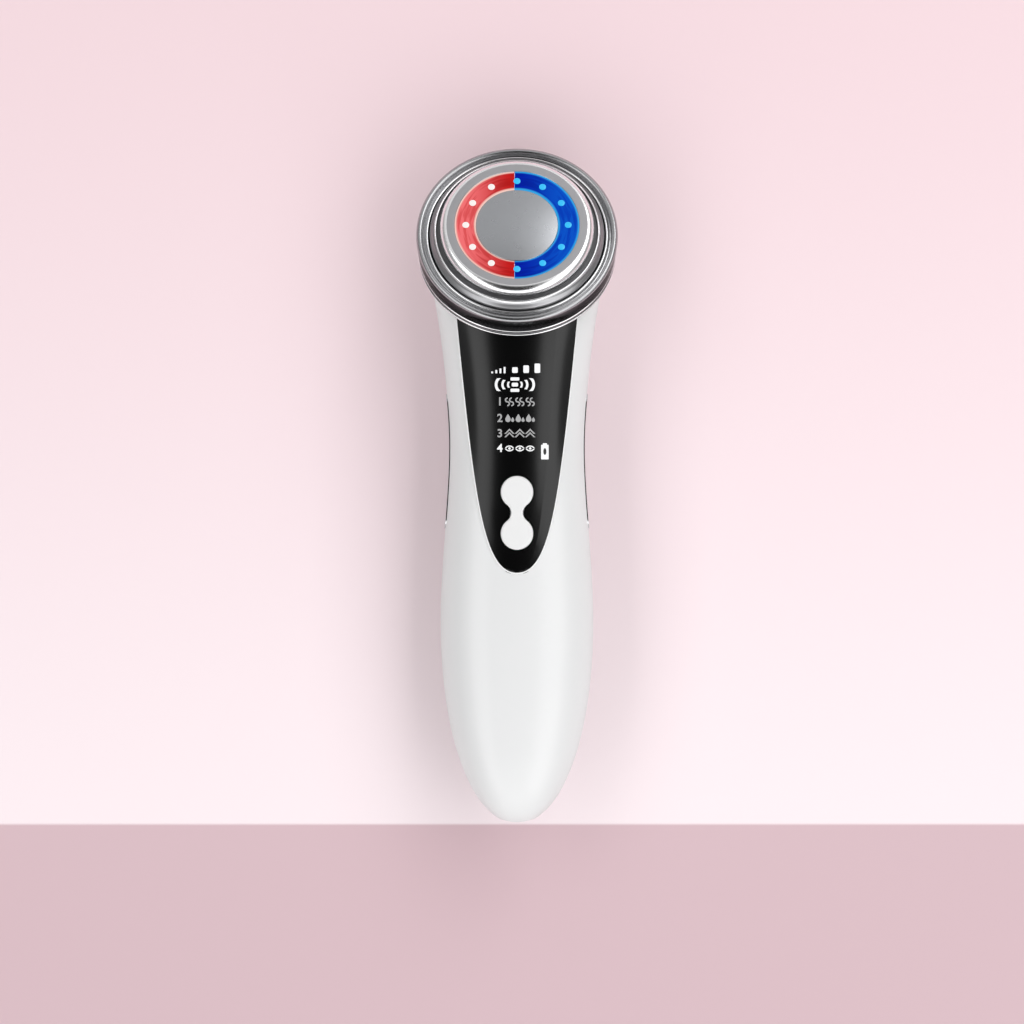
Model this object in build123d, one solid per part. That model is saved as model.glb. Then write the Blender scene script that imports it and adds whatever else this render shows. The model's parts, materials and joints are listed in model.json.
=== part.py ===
from build123d import *
import math
import os

# A hand-held facial toning device, lying on its back with its panel and treatment head up.
# X runs across the handle, Y along it towards the head and Z up, away from the surface it rests on.
# The origin is under the middle of the device, on that surface. All sizes are in millimetres.

# ------------------------------------------------------------------ driving dimensions
overall_length = 180.0      # from the handle's tip to the far edge of the head ring

# handle outline seen from the front: distance from the tip, half width
belly_at, belly_half = 54.0, 20.4
waist_at, waist_half = 101.0, 18.0
neck_at, neck_half = 134.0, 20.9

# handle outline seen from the side: heights above the resting surface
crest_height = 16.0         # the widest line, where the two shells part
head_crest = 19.6
rest_cut = 0.25             # how much of the back's roundness is cut flat where it rests
belly_front = 32.0
waist_front, waist_back = 30.8, 1.6
neck_front, neck_front_at = 33.0, 131.0
head_back_at = 146.0
section_power = 2.35        # 2 is an ellipse, larger is squarer
cap_power = 2.1             # the same for the rounded ends
station_count = 18          # cross-sections along the handle
section_points = 16         # points round each of them
end_share = 0.02            # how far from the ends the first and last of them stand
crest_steps = 24            # points along the parting line

wall = 2.2
lip_height = 1.2
fit_gap = 0.10              # between parts that are fitted together and stay put
key_gap = 0.30              # round the key
pin_gap = 0.05              # radial, round turning shafts

# treatment head: tilt from the handle's front, radii, and heights along its axis above its base plane
head_tilt = 29.5
head_height = 22.6          # of the base plane, at the head's axis
seat_rise = 1.0             # the front shell's rim above the base plane
seat_radius = 24.0
ring_radius, ring_height = 26.8, 8.6
ring_lip_round = 0.9
ring_bore = 23.6
ring_bead_top, ring_bead_outer = 8.1, 24.25
ring_valley_radius, ring_valley_height = 24.85, 7.4
ring_foot_radius, ring_foot_neck, ring_foot_height = 26.5, 26.3, 1.2
ring_skirt, ring_skirt_bore = 1.0, 25.2     # how far the ring reaches below the base plane
flange_radius, flange_thickness = 24.4, 2.0
trim_outer, trim_inner = 23.2, 21.5
trim_step_radius, trim_step_height, trim_edge_height = 22.0, 10.2, 8.6
seal_inner, seal_outer, seal_height, seal_width, seal_bevel = 22.45, 23.45, 5.4, 1.0, 0.25
insulator_wall, insulator_height = 0.9, 9.4
electrode_radius, electrode_wall = 20.4, 1.0
plate_flat_radius, plate_shoulder, plate_thickness = 19.2, 2.8, 1.2
face_height = 13.25
glow_outer, glow_inner, glow_recess, glow_bevel = 16.5, 11.05, 0.15, 0.3
glow_ledge = 1.55           # how far the light guides reach in under the disc
glow_split = -0.65          # where the red half meets the blue half
channel_inner, channel_outer, channel_height = 12.0, 15.3, 1.2
disc_edge, disc_thickness, disc_dome = 0.3, 1.7, 0.6
stem_radius, stem_foot = 6.5, 7.6
heater_radius, heater_thickness = 6.2, 0.8
led_circle, led_count, led_size, led_rise = 13.6, 12, 2.0, 0.8
led_board_height, led_board_thickness, led_board_hole = 8.0, 1.0, 7.0
tower_radius, tower_wall = 18.4, 1.5
spigot_radius, spigot_wall, spigot_depth = 14.2, 1.6, 4.0
head_screw_circle, head_screw_count, head_boss_depth = 19.3, 3, 9.0
screw_radius, screw_head_radius, screw_head_height, screw_length = 1.0, 1.9, 1.2, 6.0
thread_gap = 0.02
boss_radius = 2.1

# front panel: its tongue outline is one curve, drawn from its bottom out to panel_bottom_pull, up
# towards panel_side_half at panel_side_at, and ending at panel_top_half under the head
panel_thickness = 1.2
panel_bottom_at, panel_bottom_pull = 66.9, 8.9
panel_side_at, panel_side_half = 85.4, 11.3
panel_top_at, panel_top_half = 140.0, 16.5

# rocker key and its switches
key_at = 82.8
key_pad_radius, key_pad_spacing, key_neck_half = 4.33, 11.0, 1.63
key_proud = 0.5
key_round = 0.5             # of the edge round its top
key_floor = 28.3
pivot_height, pivot_radius, pivot_half_length = 27.7, 0.5, 3.3
hub_half_width, hub_half_length, hub_drop = 2.0, 1.0, 0.9
ear_half_length, ear_rise = 0.9, 0.9
bracket_thickness = 0.5
switch_size, switch_height = 4.4, 1.6
plunger_radius, plunger_rise, plunger_length, plunger_travel = 1.0, 0.8, 1.6, 0.25
foot_radius, foot_gap = 0.8, 0.08

# main board, icon lights and their mask
board_half_width, board_from, board_to = 10.4, 62.0, 129.4
board_top, board_thickness, board_corner = 25.2, 1.2, 2.0
board_screw_x = 8.0
board_screw_places = (65.6, 126.4)
icon_led_half_width, icon_led_half_length, icon_led_height = 0.8, 0.4, 0.6
mask_half_width, mask_from, mask_to, mask_height = 9.8, 95.8, 123.4, 3.1
mask_flange_height = 1.2
window_margin = 0.5
icon_centre = -0.4
row_places, row_half_width, row_half_length = (99.8, 103.8, 107.8, 112.2), 4.9, 1.3
wave_at, wave_half_width, wave_half_length = 116.7, 5.5, 1.7
level_at, level_places, level_half_width, level_half_length = 120.8, (-0.5, 2.4, 5.6), 1.1, 1.7
battery_icon_x, battery_icon_at, battery_icon_half_width, battery_icon_half_length = 7.4, 99.0, 1.3, 2.4

# battery, vibration motor and the ribs that cradle them
battery_radius, battery_from, battery_length, battery_height = 7.0, 27.0, 50.0, 12.0
button_radius, button_length = 2.75, 0.8
motor_radius, motor_from, motor_length, motor_height = 3.5, 97.0, 14.0, 10.5
motor_chamfer = 0.3
boot_thickness, boot_from, boot_length = 1.0, 98.0, 10.0
shaft_radius, shaft_length, shaft_seat = 0.5, 18.0, 1.5
weight_radius, weight_length, weight_gap = 4.2, 4.6, 1.0
saddle_thickness = 1.8
battery_saddles, motor_saddles = (34.0, 70.0), (100.0, 106.0)

# charging socket on its own small board at the handle's tip
socket_width, socket_thickness, socket_depth, socket_wall = 8.94, 3.16, 7.3, 0.3
socket_at, socket_bore_depth = 1.3, 6.2
tongue_width, tongue_thickness, tongue_inset = 6.7, 0.7, 0.5
port_gap = 0.25
charge_board_half_width, charge_board_from, charge_board_to = 6.2, 8.8, 21.0
charge_board_thickness = 1.2
charge_screw_at, charge_screw_x = 17.6, 3.6
charge_screw_length = 4.5

# finger electrodes on both sides of the handle
strip_at, strip_length, strip_half_height = 96.6, 36.0, 3.0
strip_proud, strip_depth = 0.25, 0.5
stud_radius, stud_inner_x = 1.5, 13.0
contact_width, contact_thickness, contact_shoulder = 3.0, 0.3, 19.5

# ------------------------------------------------------------------ derived places
tilt = math.radians(head_tilt)
tip_y = -overall_length / 2
seat_y = (
    overall_length / 2
    - ring_lip_round
    - (ring_radius - ring_lip_round) * math.cos(tilt)
    - (ring_height - ring_lip_round) * math.sin(tilt)
)
seat_at = seat_y - tip_y
body_end = seat_at + seat_radius * math.cos(tilt)
body_end_height = head_height - seat_radius * math.sin(tilt)
head_plane = Plane(
    origin=(0, seat_y, head_height),
    x_dir=(1, 0, 0),
    z_dir=(0, math.sin(tilt), math.cos(tilt)),
)
flange_top = seat_rise + flange_thickness
led_board_top = led_board_height + led_board_thickness
plate_floor = face_height - plate_thickness
disc_floor = face_height - disc_edge - disc_thickness
board_floor = board_top - board_thickness
pilot_radius = screw_radius + thread_gap
plunger_top = board_top + switch_height + plunger_rise
charge_board_top = crest_height - socket_thickness / 2
big = 4 * ring_radius       # larger than anything it has to cut through
overrun = ring_radius / 2   # how far a cut runs on past the handle's ends
key_y = tip_y + key_at


def at(distance):
    """The Y of a point this far from the handle's tip."""
    return tip_y + distance


# ------------------------------------------------------------------ the handle's form
def cap(share):
    """Rounded end: 1 at its wide side, where share is 0, and 0 at its tip, where share is 1."""
    return (1 - share**cap_power) ** (1 / cap_power)


def through(stops, place):
    """A smooth curve through (place, value) stops, level at its ends, highs and lows."""
    rises = [(b[1] - a[1]) / (b[0] - a[0]) for a, b in zip(stops, stops[1:])]
    slopes = [0.0]
    for before, after in zip(rises, rises[1:]):
        slopes.append(2 * before * after / (before + after) if before * after > 0 else 0.0)
    slopes.append(0.0)
    place = min(max(place, stops[0][0]), stops[-1][0])
    index = max(i for i in range(len(rises)) if place >= stops[i][0])
    (start, low), (end, high) = stops[index], stops[index + 1]
    span = end - start
    share = (place - start) / span
    rest = 1 - share
    value = low * rest * rest * (1 + 2 * share) + high * share * share * (1 + 2 * rest)
    return value + span * share * rest * (slopes[index] * rest - slopes[index + 1] * share)


def far_cap(place, start, inset):
    """How far the head's back has closed in, past the place where it starts to."""
    return cap((place - start) / (body_end - inset - start)) if place > start else 1.0


def half_width(place, inset):
    """Half the handle's width at a distance from its tip."""
    if place < belly_at:
        return (belly_half - inset) * cap((belly_at - place) / (belly_at - inset))
    stops = [(belly_at, belly_half), (waist_at, waist_half), (neck_at, neck_half), (seat_at, seat_radius)]
    return (through(stops, place) - inset) * far_cap(place, seat_at, inset)


def crest(place):
    """Height of the widest line, where the two shells part."""
    stops = [(waist_at, crest_height), (head_back_at, head_crest), (body_end, body_end_height)]
    return through(stops, place)


def front(place, inset):
    """Height of the handle's front at a distance from its tip."""
    if place < belly_at:
        rise = belly_front - inset - crest_height
        return crest_height + rise * cap((belly_at - place) / (belly_at - inset))
    stops = [(belly_at, belly_front), (waist_at, waist_front), (neck_front_at, neck_front)]
    rise = through(stops, place) - inset - crest(place)
    return crest(place) + rise * far_cap(place, seat_at, inset)


def back(place, inset):
    """Height of the handle's back at a distance from its tip."""
    if place < belly_at:
        drop = crest_height + rest_cut - inset
        return crest_height - drop * cap((belly_at - place) / (belly_at - inset))
    stops = [(belly_at, -rest_cut), (waist_at, waist_back), (head_back_at, -rest_cut)]
    drop = crest(place) - through(stops, place) - inset
    return crest(place) - drop * far_cap(place, head_back_at, inset)


def section(place, inset):
    """One cross-section of the handle: a closed squared-off oval, deeper or shallower above the crest."""
    half = half_width(place, inset)
    middle = crest(place)
    rise = front(place, inset) - middle
    drop = middle - back(place, inset)
    points = []
    for step in range(section_points):
        turn = 2 * math.pi * step / section_points - math.pi / 2
        out = math.copysign(abs(math.cos(turn)) ** (2 / section_power), math.cos(turn))
        up = math.copysign(abs(math.sin(turn)) ** (2 / section_power), math.sin(turn))
        points.append(Vector(half * out, at(place), middle + up * (rise if up > 0 else drop)))
    return Wire([Edge.make_spline(points, periodic=True)])


def body(inset):
    """The handle's solid form, shrunk by inset."""
    length = body_end - 2 * inset
    sections = []
    for step in range(station_count + 1):
        turn = math.pi * min(max(step / station_count, end_share), 1 - end_share)
        sections.append(section(inset + length * (1 - math.cos(turn)) / 2, inset))
    return Solid.make_loft(sections)


# ------------------------------------------------------------------ shape helpers
def turned(*edges):
    """A ring or disc turned about the head's axis from a closed profile of radius and height."""
    return revolve(Plane.XZ * make_face(edges), Axis.Z)


def on_head(shape):
    """A shape modelled about the head's own axis, at its place on the device."""
    return head_plane.location * shape


def above_head_plane(height):
    """Everything above the plane that lies this high on the head's axis."""
    return on_head(Pos(0, 0, height) * Box(big, big, big, align=(Align.CENTER, Align.CENTER, Align.MIN)))


def post(radius, x, y, low, high):
    """A round post standing along Z."""
    return Pos(x, y, low) * Cylinder(radius, high - low, align=(Align.CENTER, Align.CENTER, Align.MIN))


def bar(radius, y_from, length, height):
    """A round bar lying along the handle."""
    lying = Rot(-90, 0, 0) * Cylinder(radius, length, align=(Align.CENTER, Align.CENTER, Align.MIN))
    return Pos(0, y_from, height) * lying


def across(radius, half_length, height, y):
    """A round bar lying across the handle."""
    return Pos(0, y, height) * (Rot(0, 90, 0) * Cylinder(radius, 2 * half_length))


def block(half_x, y_from, y_to, low, high, x=0.0):
    """A plain block between two places along the handle and two heights."""
    return Pos(x, (y_from + y_to) / 2, (low + high) / 2) * Box(2 * half_x, y_to - y_from, high - low)


def screw(length):
    """A pan-head screw standing head up, with the underside of its head at height 0."""
    return post(screw_radius, 0, 0, -length, 0) + post(screw_head_radius, 0, 0, 0, screw_head_height)


def group(shapes):
    """Separate solids that share one node."""
    return Compound(children=[solid for shape in shapes for solid in shape.solids()])


def crest_band(above, below):
    """A band across the whole handle between two lines above and below the parting line."""
    places = [overrun * (2 * step / crest_steps - 1) + body_end * step / crest_steps for step in range(crest_steps + 1)]
    upper = [(at(place), crest(place) + above) for place in places]
    lower = [(at(place), crest(place) - below) for place in places]
    outline = make_face([Spline(*upper), Line(upper[-1], lower[-1]), Spline(*lower), Line(lower[0], upper[0])])
    return extrude(Plane.YZ * outline, big / 2, both=True)


# ------------------------------------------------------------------ outlines
def panel_outline(gap):
    """The panel's tongue outline, grown by gap."""
    bottom = at(panel_bottom_at) - gap
    pulls = [(panel_bottom_pull + gap, bottom), (panel_side_half + gap, at(panel_side_at))]
    right = Bezier((0, bottom), *pulls, (panel_top_half + gap, at(panel_top_at) + gap))
    left = mirror(right, about=Plane.YZ)
    return make_face([right, left, Line(left @ 1, right @ 1)])


def key_outline(gap):
    """The key's dumbbell outline, grown by gap: two pads joined by a waisted neck."""
    half = key_pad_spacing / 2
    pad = key_pad_radius + gap
    neck = key_neck_half + gap
    waist = (half**2 + neck**2 - pad**2) / (2 * (pad - neck))
    touch_x = pad * (neck + waist) / (pad + waist)
    touch_y = half * waist / (pad + waist)
    shape = Rectangle(2 * touch_x, 2 * touch_y)
    for side in (-1, 1):
        shape -= Pos(side * (neck + waist), 0) * Circle(waist)
    for side in (-1, 1):
        shape += Pos(0, side * half) * Circle(pad)
    return shape


def key_prism(gap, low):
    """The key's outline stood up at its place, from a height to past the front."""
    return extrude(Pos(0, key_y, low) * key_outline(gap), big)


def icon_cells():
    """The lit icons: x, distance from the tip, half width and half length of each cell."""
    cells = [(icon_centre, place, row_half_width, row_half_length) for place in row_places]
    cells.append((icon_centre, wave_at, wave_half_width, wave_half_length))
    cells += [(x, level_at, level_half_width, level_half_length) for x in level_places]
    cells.append((battery_icon_x, battery_icon_at, battery_icon_half_width, battery_icon_half_length))
    return cells


def socket_prism(gap, y_from, y_to):
    """The charging socket's rounded outline, run along the handle."""
    outline = SlotOverall(socket_width + 2 * gap, socket_thickness + 2 * gap)
    return Pos(0, y_from, crest_height) * (Rot(-90, 0, 0) * extrude(outline, y_to - y_from))


# ------------------------------------------------------------------ handle forms used more than once
outer = body(0)
cavity = body(wall)
half_skin = body(wall / 2)
panel_back = body(panel_thickness)
seat_space = above_head_plane(seat_rise)
under_floor = block(big, tip_y, -tip_y, -big, 0)
hull = outer - cavity - seat_space - under_floor
front_room = crest_band(big, 0)


def strip_zone(side, gap):
    """The stadium-shaped zone of one finger electrode, seen from the side."""
    outline = Plane.YZ * SlotOverall(strip_length + 2 * gap, 2 * (strip_half_height + gap))
    run = extrude(outline, big / 2) if side > 0 else extrude(outline, -big / 2)
    return Pos(side * belly_half / 2, at(strip_at), crest_height) * run


def strip_cuts():
    """Pockets and stud holes for the two finger electrodes."""
    floor = body(strip_depth + fit_gap)
    cuts = []
    for side in (-1, 1):
        cuts.append(strip_zone(side, fit_gap) - floor)
        hole = Rot(0, 90, 0) * Cylinder(stud_radius + fit_gap, belly_half / 2)
        cuts.append(Pos(side * waist_half, at(strip_at), crest_height) * hole)
    return cuts


def head_screw_places():
    """Where the head's screws stand, as x and y about the head's axis."""
    turns = [math.radians(90 + 360 * index / head_screw_count) for index in range(head_screw_count)]
    return [(head_screw_circle * math.cos(turn), head_screw_circle * math.sin(turn)) for turn in turns]


def board_screw_spots():
    """Where the main board's screws stand."""
    return [(side * board_screw_x, at(place)) for place in board_screw_places for side in (-1, 1)]


def charge_screw_spots():
    """Where the charging board's screws stand."""
    return [(side * charge_screw_x, at(charge_screw_at)) for side in (-1, 1)]


shared_cuts = strip_cuts() + [socket_prism(port_gap, tip_y - socket_at, at(socket_at + socket_depth))]


# ------------------------------------------------------------------ handle
def make_front_shell():
    """The front half: a lipped shell with the panel's recess, its windows and the inner bosses."""
    shell = hull & front_room
    lip = (body(wall / 2 + fit_gap) - seat_space - cavity) & crest_band(lip_height / 2, lip_height)
    bosses = [post(boss_radius, x, y, board_top, belly_front) for x, y in board_screw_spots()]
    bosses = [boss & body(panel_thickness + fit_gap) for boss in bosses]
    for x, y in head_screw_places():
        boss = on_head(post(boss_radius, x, y, seat_rise - head_boss_depth, seat_rise))
        bosses.append(boss & half_skin & front_room)
        bosses.append(boss & body(wall + fit_gap))
    cuts = list(shared_cuts)
    cuts.append(extrude(Pos(0, 0, key_floor) * panel_outline(fit_gap), big) - panel_back)
    cuts.append(key_prism(2 * key_gap, board_top))
    mask_ends = (at(mask_from) + window_margin, at(mask_to) - window_margin)
    cuts.append(block(mask_half_width - window_margin, *mask_ends, board_top, big))
    for x, y in board_screw_spots():
        cuts.append(post(pilot_radius, x, y, board_floor, board_floor + screw_length + fit_gap))
    for x, y in head_screw_places():
        cuts.append(on_head(post(pilot_radius, x, y, seat_rise - screw_length - fit_gap, flange_top)))
    return (shell + lip + bosses) - cuts


def saddle(place, top, radius, height):
    """A rib across the rear shell, hollowed to cradle a round piece."""
    rib = block(belly_half, at(place) - saddle_thickness / 2, at(place) + saddle_thickness / 2, 0, top)
    return (rib & half_skin) - bar(radius, at(place) - saddle_thickness, 2 * saddle_thickness, height)


def make_rear_shell():
    """The back half: a shell rebated for the front's lip, with cradle ribs and screw posts."""
    shell = hull - front_room
    shell -= half_skin & crest_band(lip_height, lip_height + fit_gap)
    ribs = [saddle(place, battery_height, battery_radius + fit_gap, battery_height) for place in battery_saddles]
    boot_radius = motor_radius + boot_thickness + fit_gap
    ribs += [saddle(place, motor_height, boot_radius, motor_height) for place in motor_saddles]
    cuts = list(shared_cuts)
    for x, y in charge_screw_spots():
        ribs.append(post(boss_radius, x, y, 0, charge_board_top - charge_board_thickness) & half_skin)
        cuts.append(post(pilot_radius, x, y, charge_board_top - charge_screw_length - fit_gap, charge_board_top))
    return (shell + ribs) - cuts


def make_display_panel():
    """The glossy panel, let into the front shell, with the key's opening."""
    skin = outer - panel_back
    panel = extrude(Pos(0, 0, key_floor) * panel_outline(0), big) & skin
    return panel - key_prism(key_gap, board_top) - above_head_plane(seat_rise - fit_gap)


def make_side_electrode(side):
    """A metal finger strip with a stud through the shell."""
    strip = strip_zone(side, 0) & (body(-strip_proud) - body(strip_depth))
    reach = waist_half - strip_depth / 2 - stud_inner_x
    stud = Rot(0, 90, 0) * Cylinder(stud_radius, reach)
    return strip + Pos(side * (stud_inner_x + reach / 2), at(strip_at), crest_height) * stud


def make_contact_springs():
    """Leaf springs that join the finger strips to the underside of the main board."""
    leaves = []
    for side in (-1, 1):
        low_x = stud_inner_x - contact_thickness
        high_x = board_half_width - 2 * contact_thickness
        points = [
            (low_x, crest_height - stud_radius),
            (low_x, contact_shoulder),
            (high_x, board_floor - 2 * contact_thickness),
            (high_x, board_floor),
            (high_x + contact_thickness, board_floor),
            (high_x + contact_thickness, board_floor - 2 * contact_thickness),
            (stud_inner_x, contact_shoulder),
            (stud_inner_x, crest_height - stud_radius),
        ]
        outline = make_face(Polyline(*[(side * x, z) for x, z in points], close=True))
        leaf = extrude(Plane.XZ * outline, contact_width / 2, both=True)
        leaves.append(Pos(0, at(strip_at), 0) * leaf)
    return group(leaves)


# ------------------------------------------------------------------ key and switches
def make_rocker_key():
    """One moulded key: two pads on a waisted neck, a pivot hub below and a foot under each pad."""
    key = key_prism(0, key_floor) & body(-key_proud)
    key = fillet([edge for edge in key.edges() if edge.bounding_box().min.Z > key_floor + key_proud], key_round)
    key += block(hub_half_width, key_y - hub_half_length, key_y + hub_half_length, pivot_height - hub_drop, key_floor)
    for side in (-1, 1):
        key += post(foot_radius, 0, key_y + side * key_pad_spacing / 2, plunger_top + foot_gap, key_floor)
    return key - across(pivot_radius + pin_gap, 2 * hub_half_width, pivot_height, key_y)


def make_key_bracket():
    """A U-shaped bracket on the board, whose ears hold the key's pin."""
    ear_inner = hub_half_width + fit_gap
    ends = (key_y - ear_half_length, key_y + ear_half_length)
    bracket = block(pivot_half_length, *ends, board_top, pivot_height + ear_rise)
    bracket -= block(ear_inner, tip_y, -tip_y, board_top + bracket_thickness, big)
    return bracket - across(pivot_radius + thread_gap, big, pivot_height, key_y)


def make_switches():
    """Two push switches, each with a round well for its plunger."""
    bodies = []
    for side in (-1, 1):
        y = key_y + side * key_pad_spacing / 2
        case = block(switch_size / 2, y - switch_size / 2, y + switch_size / 2, board_top, board_top + switch_height)
        well_floor = plunger_top - plunger_length - plunger_travel
        bodies.append(case - post(plunger_radius + pin_gap, 0, y, well_floor, big))
    return group(bodies)


def make_plunger(side):
    """The sprung plunger of one switch."""
    return post(plunger_radius, 0, key_y + side * key_pad_spacing / 2, plunger_top - plunger_length, plunger_top)


# ------------------------------------------------------------------ electronics
def make_main_board():
    """The main circuit board, with rounded corners and screw holes."""
    length = board_to - board_from
    outline = RectangleRounded(2 * board_half_width, length, board_corner)
    board = extrude(Pos(0, at(board_from) + length / 2, board_floor) * outline, board_thickness)
    for x, y in board_screw_spots():
        board -= post(screw_radius + fit_gap, x, y, 0, big)
    return board


def make_board_screws():
    """Screws that hold the board up against the front shell's bosses."""
    flipped = Rot(180, 0, 0) * screw(screw_length)
    return group([Pos(x, y, board_floor) * flipped for x, y in board_screw_spots()])


def make_icon_lights():
    """One small lamp on the board under each lit icon."""
    lamps = []
    for x, place, _, _ in icon_cells():
        ends = (at(place) - icon_led_half_length, at(place) + icon_led_half_length)
        lamps.append(block(icon_led_half_width, *ends, board_top, board_top + icon_led_height, x))
    return group(lamps)


def make_light_mask():
    """The black mask that keeps each icon's light in its own cell, stepped to sit in the shell's window."""
    floor = board_top + fit_gap
    inset = window_margin + fit_gap
    mask = block(mask_half_width, at(mask_from), at(mask_to), floor, floor + mask_flange_height)
    ends = (at(mask_from) + inset, at(mask_to) - inset)
    mask += block(mask_half_width - inset, *ends, floor, board_top + mask_height)
    for x, place, half_x, half_y in icon_cells():
        mask -= block(half_x, at(place) - half_y, at(place) + half_y, board_top, big, x)
    return mask


def make_battery():
    """A round cell with its raised contact, lying in the cradle ribs."""
    cell = chamfer(bar(battery_radius, at(battery_from), battery_length, battery_height).edges(), button_length)
    return cell + bar(button_radius, at(battery_from), battery_length + button_length, battery_height)


def make_charge_board():
    """The small board that carries the charging socket."""
    ends = (at(charge_board_from), at(charge_board_to))
    board = block(charge_board_half_width, *ends, charge_board_top - charge_board_thickness, charge_board_top)
    for x, y in charge_screw_spots():
        board -= post(screw_radius + fit_gap, x, y, 0, big)
    return board


def make_charge_screws():
    """Screws that hold the charging board on its posts."""
    length = charge_screw_length
    return group([Pos(x, y, charge_board_top) * screw(length) for x, y in charge_screw_spots()])


def make_charge_socket():
    """A charging socket: a rounded metal shell, closed behind, with its contact tongue."""
    front_y = at(socket_at)
    shell = socket_prism(0, front_y, front_y + socket_depth)
    shell -= socket_prism(-socket_wall, front_y - socket_at, front_y + socket_bore_depth)
    ends = (front_y + tongue_inset, front_y + socket_depth)
    half = tongue_thickness / 2
    return shell + block(tongue_width / 2, *ends, crest_height - half, crest_height + half)


# ------------------------------------------------------------------ vibration motor
def make_motor_can():
    """The motor's round case, bored for its shaft."""
    can = chamfer(bar(motor_radius, at(motor_from), motor_length, motor_height).edges(), motor_chamfer)
    bore_from = at(motor_from) + shaft_seat - pin_gap
    return can - bar(shaft_radius + pin_gap, bore_from, motor_length, motor_height)


def make_motor_boot():
    """The rubber sleeve that holds the motor in its cradle."""
    sleeve = bar(motor_radius + boot_thickness, at(boot_from), boot_length, motor_height)
    return sleeve - bar(motor_radius, at(boot_from) - overrun, boot_length + 2 * overrun, motor_height)


def make_motor_rotor():
    """The motor's shaft with its eccentric weight, hanging heavy side down."""
    weight_from = at(motor_from) + motor_length + weight_gap
    weight = bar(weight_radius, weight_from, weight_length, motor_height)
    weight -= block(big, tip_y, -tip_y, motor_height + 2 * shaft_radius, big)
    return weight + bar(shaft_radius, at(motor_from) + shaft_seat, shaft_length, motor_height)


# ------------------------------------------------------------------ treatment head
def make_head_carrier():
    """The moulded carrier: a flange on the front shell's rim, a spigot below and a tower above."""
    spigot_inner = spigot_radius - spigot_wall
    tower_inner = tower_radius - tower_wall
    carrier = turned(
        Polyline(
            (spigot_inner, seat_rise - spigot_depth),
            (spigot_radius, seat_rise - spigot_depth),
            (spigot_radius, seat_rise),
            (flange_radius, seat_rise),
            (flange_radius, flange_top),
            (tower_radius, flange_top),
            (tower_radius, led_board_height),
            (tower_inner, led_board_height),
            (tower_inner, flange_top),
            (spigot_inner, flange_top),
            close=True,
        )
    )
    for x, y in head_screw_places():
        carrier -= post(screw_radius + fit_gap, x, y, 0, flange_top)
        carrier -= post(screw_head_radius + fit_gap, x, y, flange_top - screw_head_height, led_board_height)
    return on_head(carrier)


def make_head_screws():
    """Screws that hold the carrier on the front shell's bosses."""
    seat = flange_top - screw_head_height
    length = seat - seat_rise + screw_length - fit_gap
    return group([on_head(Pos(x, y, seat) * screw(length)) for x, y in head_screw_places()])


def make_insulating_ring():
    """The dark plastic ring between the face electrode and the chrome trim."""
    inner = electrode_radius + fit_gap
    points = [
        (inner, flange_top),
        (inner + insulator_wall, flange_top),
        (inner + insulator_wall, insulator_height),
        (inner, insulator_height),
    ]
    return on_head(turned(Polyline(*points, close=True)))


def make_head_trim():
    """The stepped chrome trim round the electrode, grooved for the seal."""
    groove = seal_inner - fit_gap
    groove_low = seal_height - seal_width / 2 - fit_gap
    groove_high = seal_height + seal_width / 2 + fit_gap
    points = [
        (trim_inner, flange_top),
        (trim_outer, flange_top),
        (trim_outer, groove_low),
        (groove, groove_low),
        (groove, groove_high),
        (trim_outer, groove_high),
        (trim_outer, trim_edge_height),
        (trim_step_radius, trim_step_height - fit_gap),
        (trim_step_radius, trim_step_height),
        (trim_inner, trim_step_height),
    ]
    return on_head(turned(Polyline(*points, close=True)))


def make_ring_seal():
    """The rubber band that grips the pad clamp ring, bevelled where the ring slides on."""
    low = seal_height - seal_width / 2
    high = seal_height + seal_width / 2
    points = [
        (seal_inner, low),
        (seal_outer - seal_bevel, low),
        (seal_outer, low + seal_bevel),
        (seal_outer, high - seal_bevel),
        (seal_outer - seal_bevel, high),
        (seal_inner, high),
    ]
    return on_head(turned(Polyline(*points, close=True)))


def make_pad_clamp_ring():
    """The loose chrome ring that clamps a cotton pad over the face."""
    lip_centre = (ring_radius - ring_lip_round, ring_height - ring_lip_round)
    diagonal = ring_lip_round * math.sqrt(0.5)
    bead_side = ring_bead_top - (ring_bead_outer - ring_bore) / 2
    foot_inner = flange_radius + 2 * fit_gap
    shoulder = flange_top + fit_gap
    valley = (ring_valley_radius, ring_valley_height)
    lip_top = (lip_centre[0], ring_height)
    lip_side = (ring_radius, lip_centre[1])
    return on_head(
        turned(
            Line((ring_bore, shoulder), (ring_bore, bead_side)),
            ThreePointArc(
                (ring_bore, bead_side),
                ((ring_bore + ring_bead_outer) / 2, ring_bead_top),
                (ring_bead_outer, bead_side),
            ),
            ThreePointArc((ring_bead_outer, bead_side), valley, (lip_centre[0] - diagonal, ring_height - ring_lip_round / 3)),
            Line((lip_centre[0] - diagonal, ring_height - ring_lip_round / 3), lip_top),
            ThreePointArc(lip_top, (lip_centre[0] + diagonal, lip_centre[1] + diagonal), lip_side),
            Line(lip_side, (ring_foot_neck, ring_foot_height)),
            ThreePointArc(
                (ring_foot_neck, ring_foot_height),
                (ring_foot_radius, (ring_foot_height - ring_skirt) / 2),
                (ring_foot_neck, -ring_skirt),
            ),
            Polyline(
                (ring_foot_neck, -ring_skirt),
                (ring_skirt_bore, -ring_skirt),
                (foot_inner, seat_rise),
                (foot_inner, shoulder),
                (ring_bore, shoulder),
            ),
        )
    )


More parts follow.
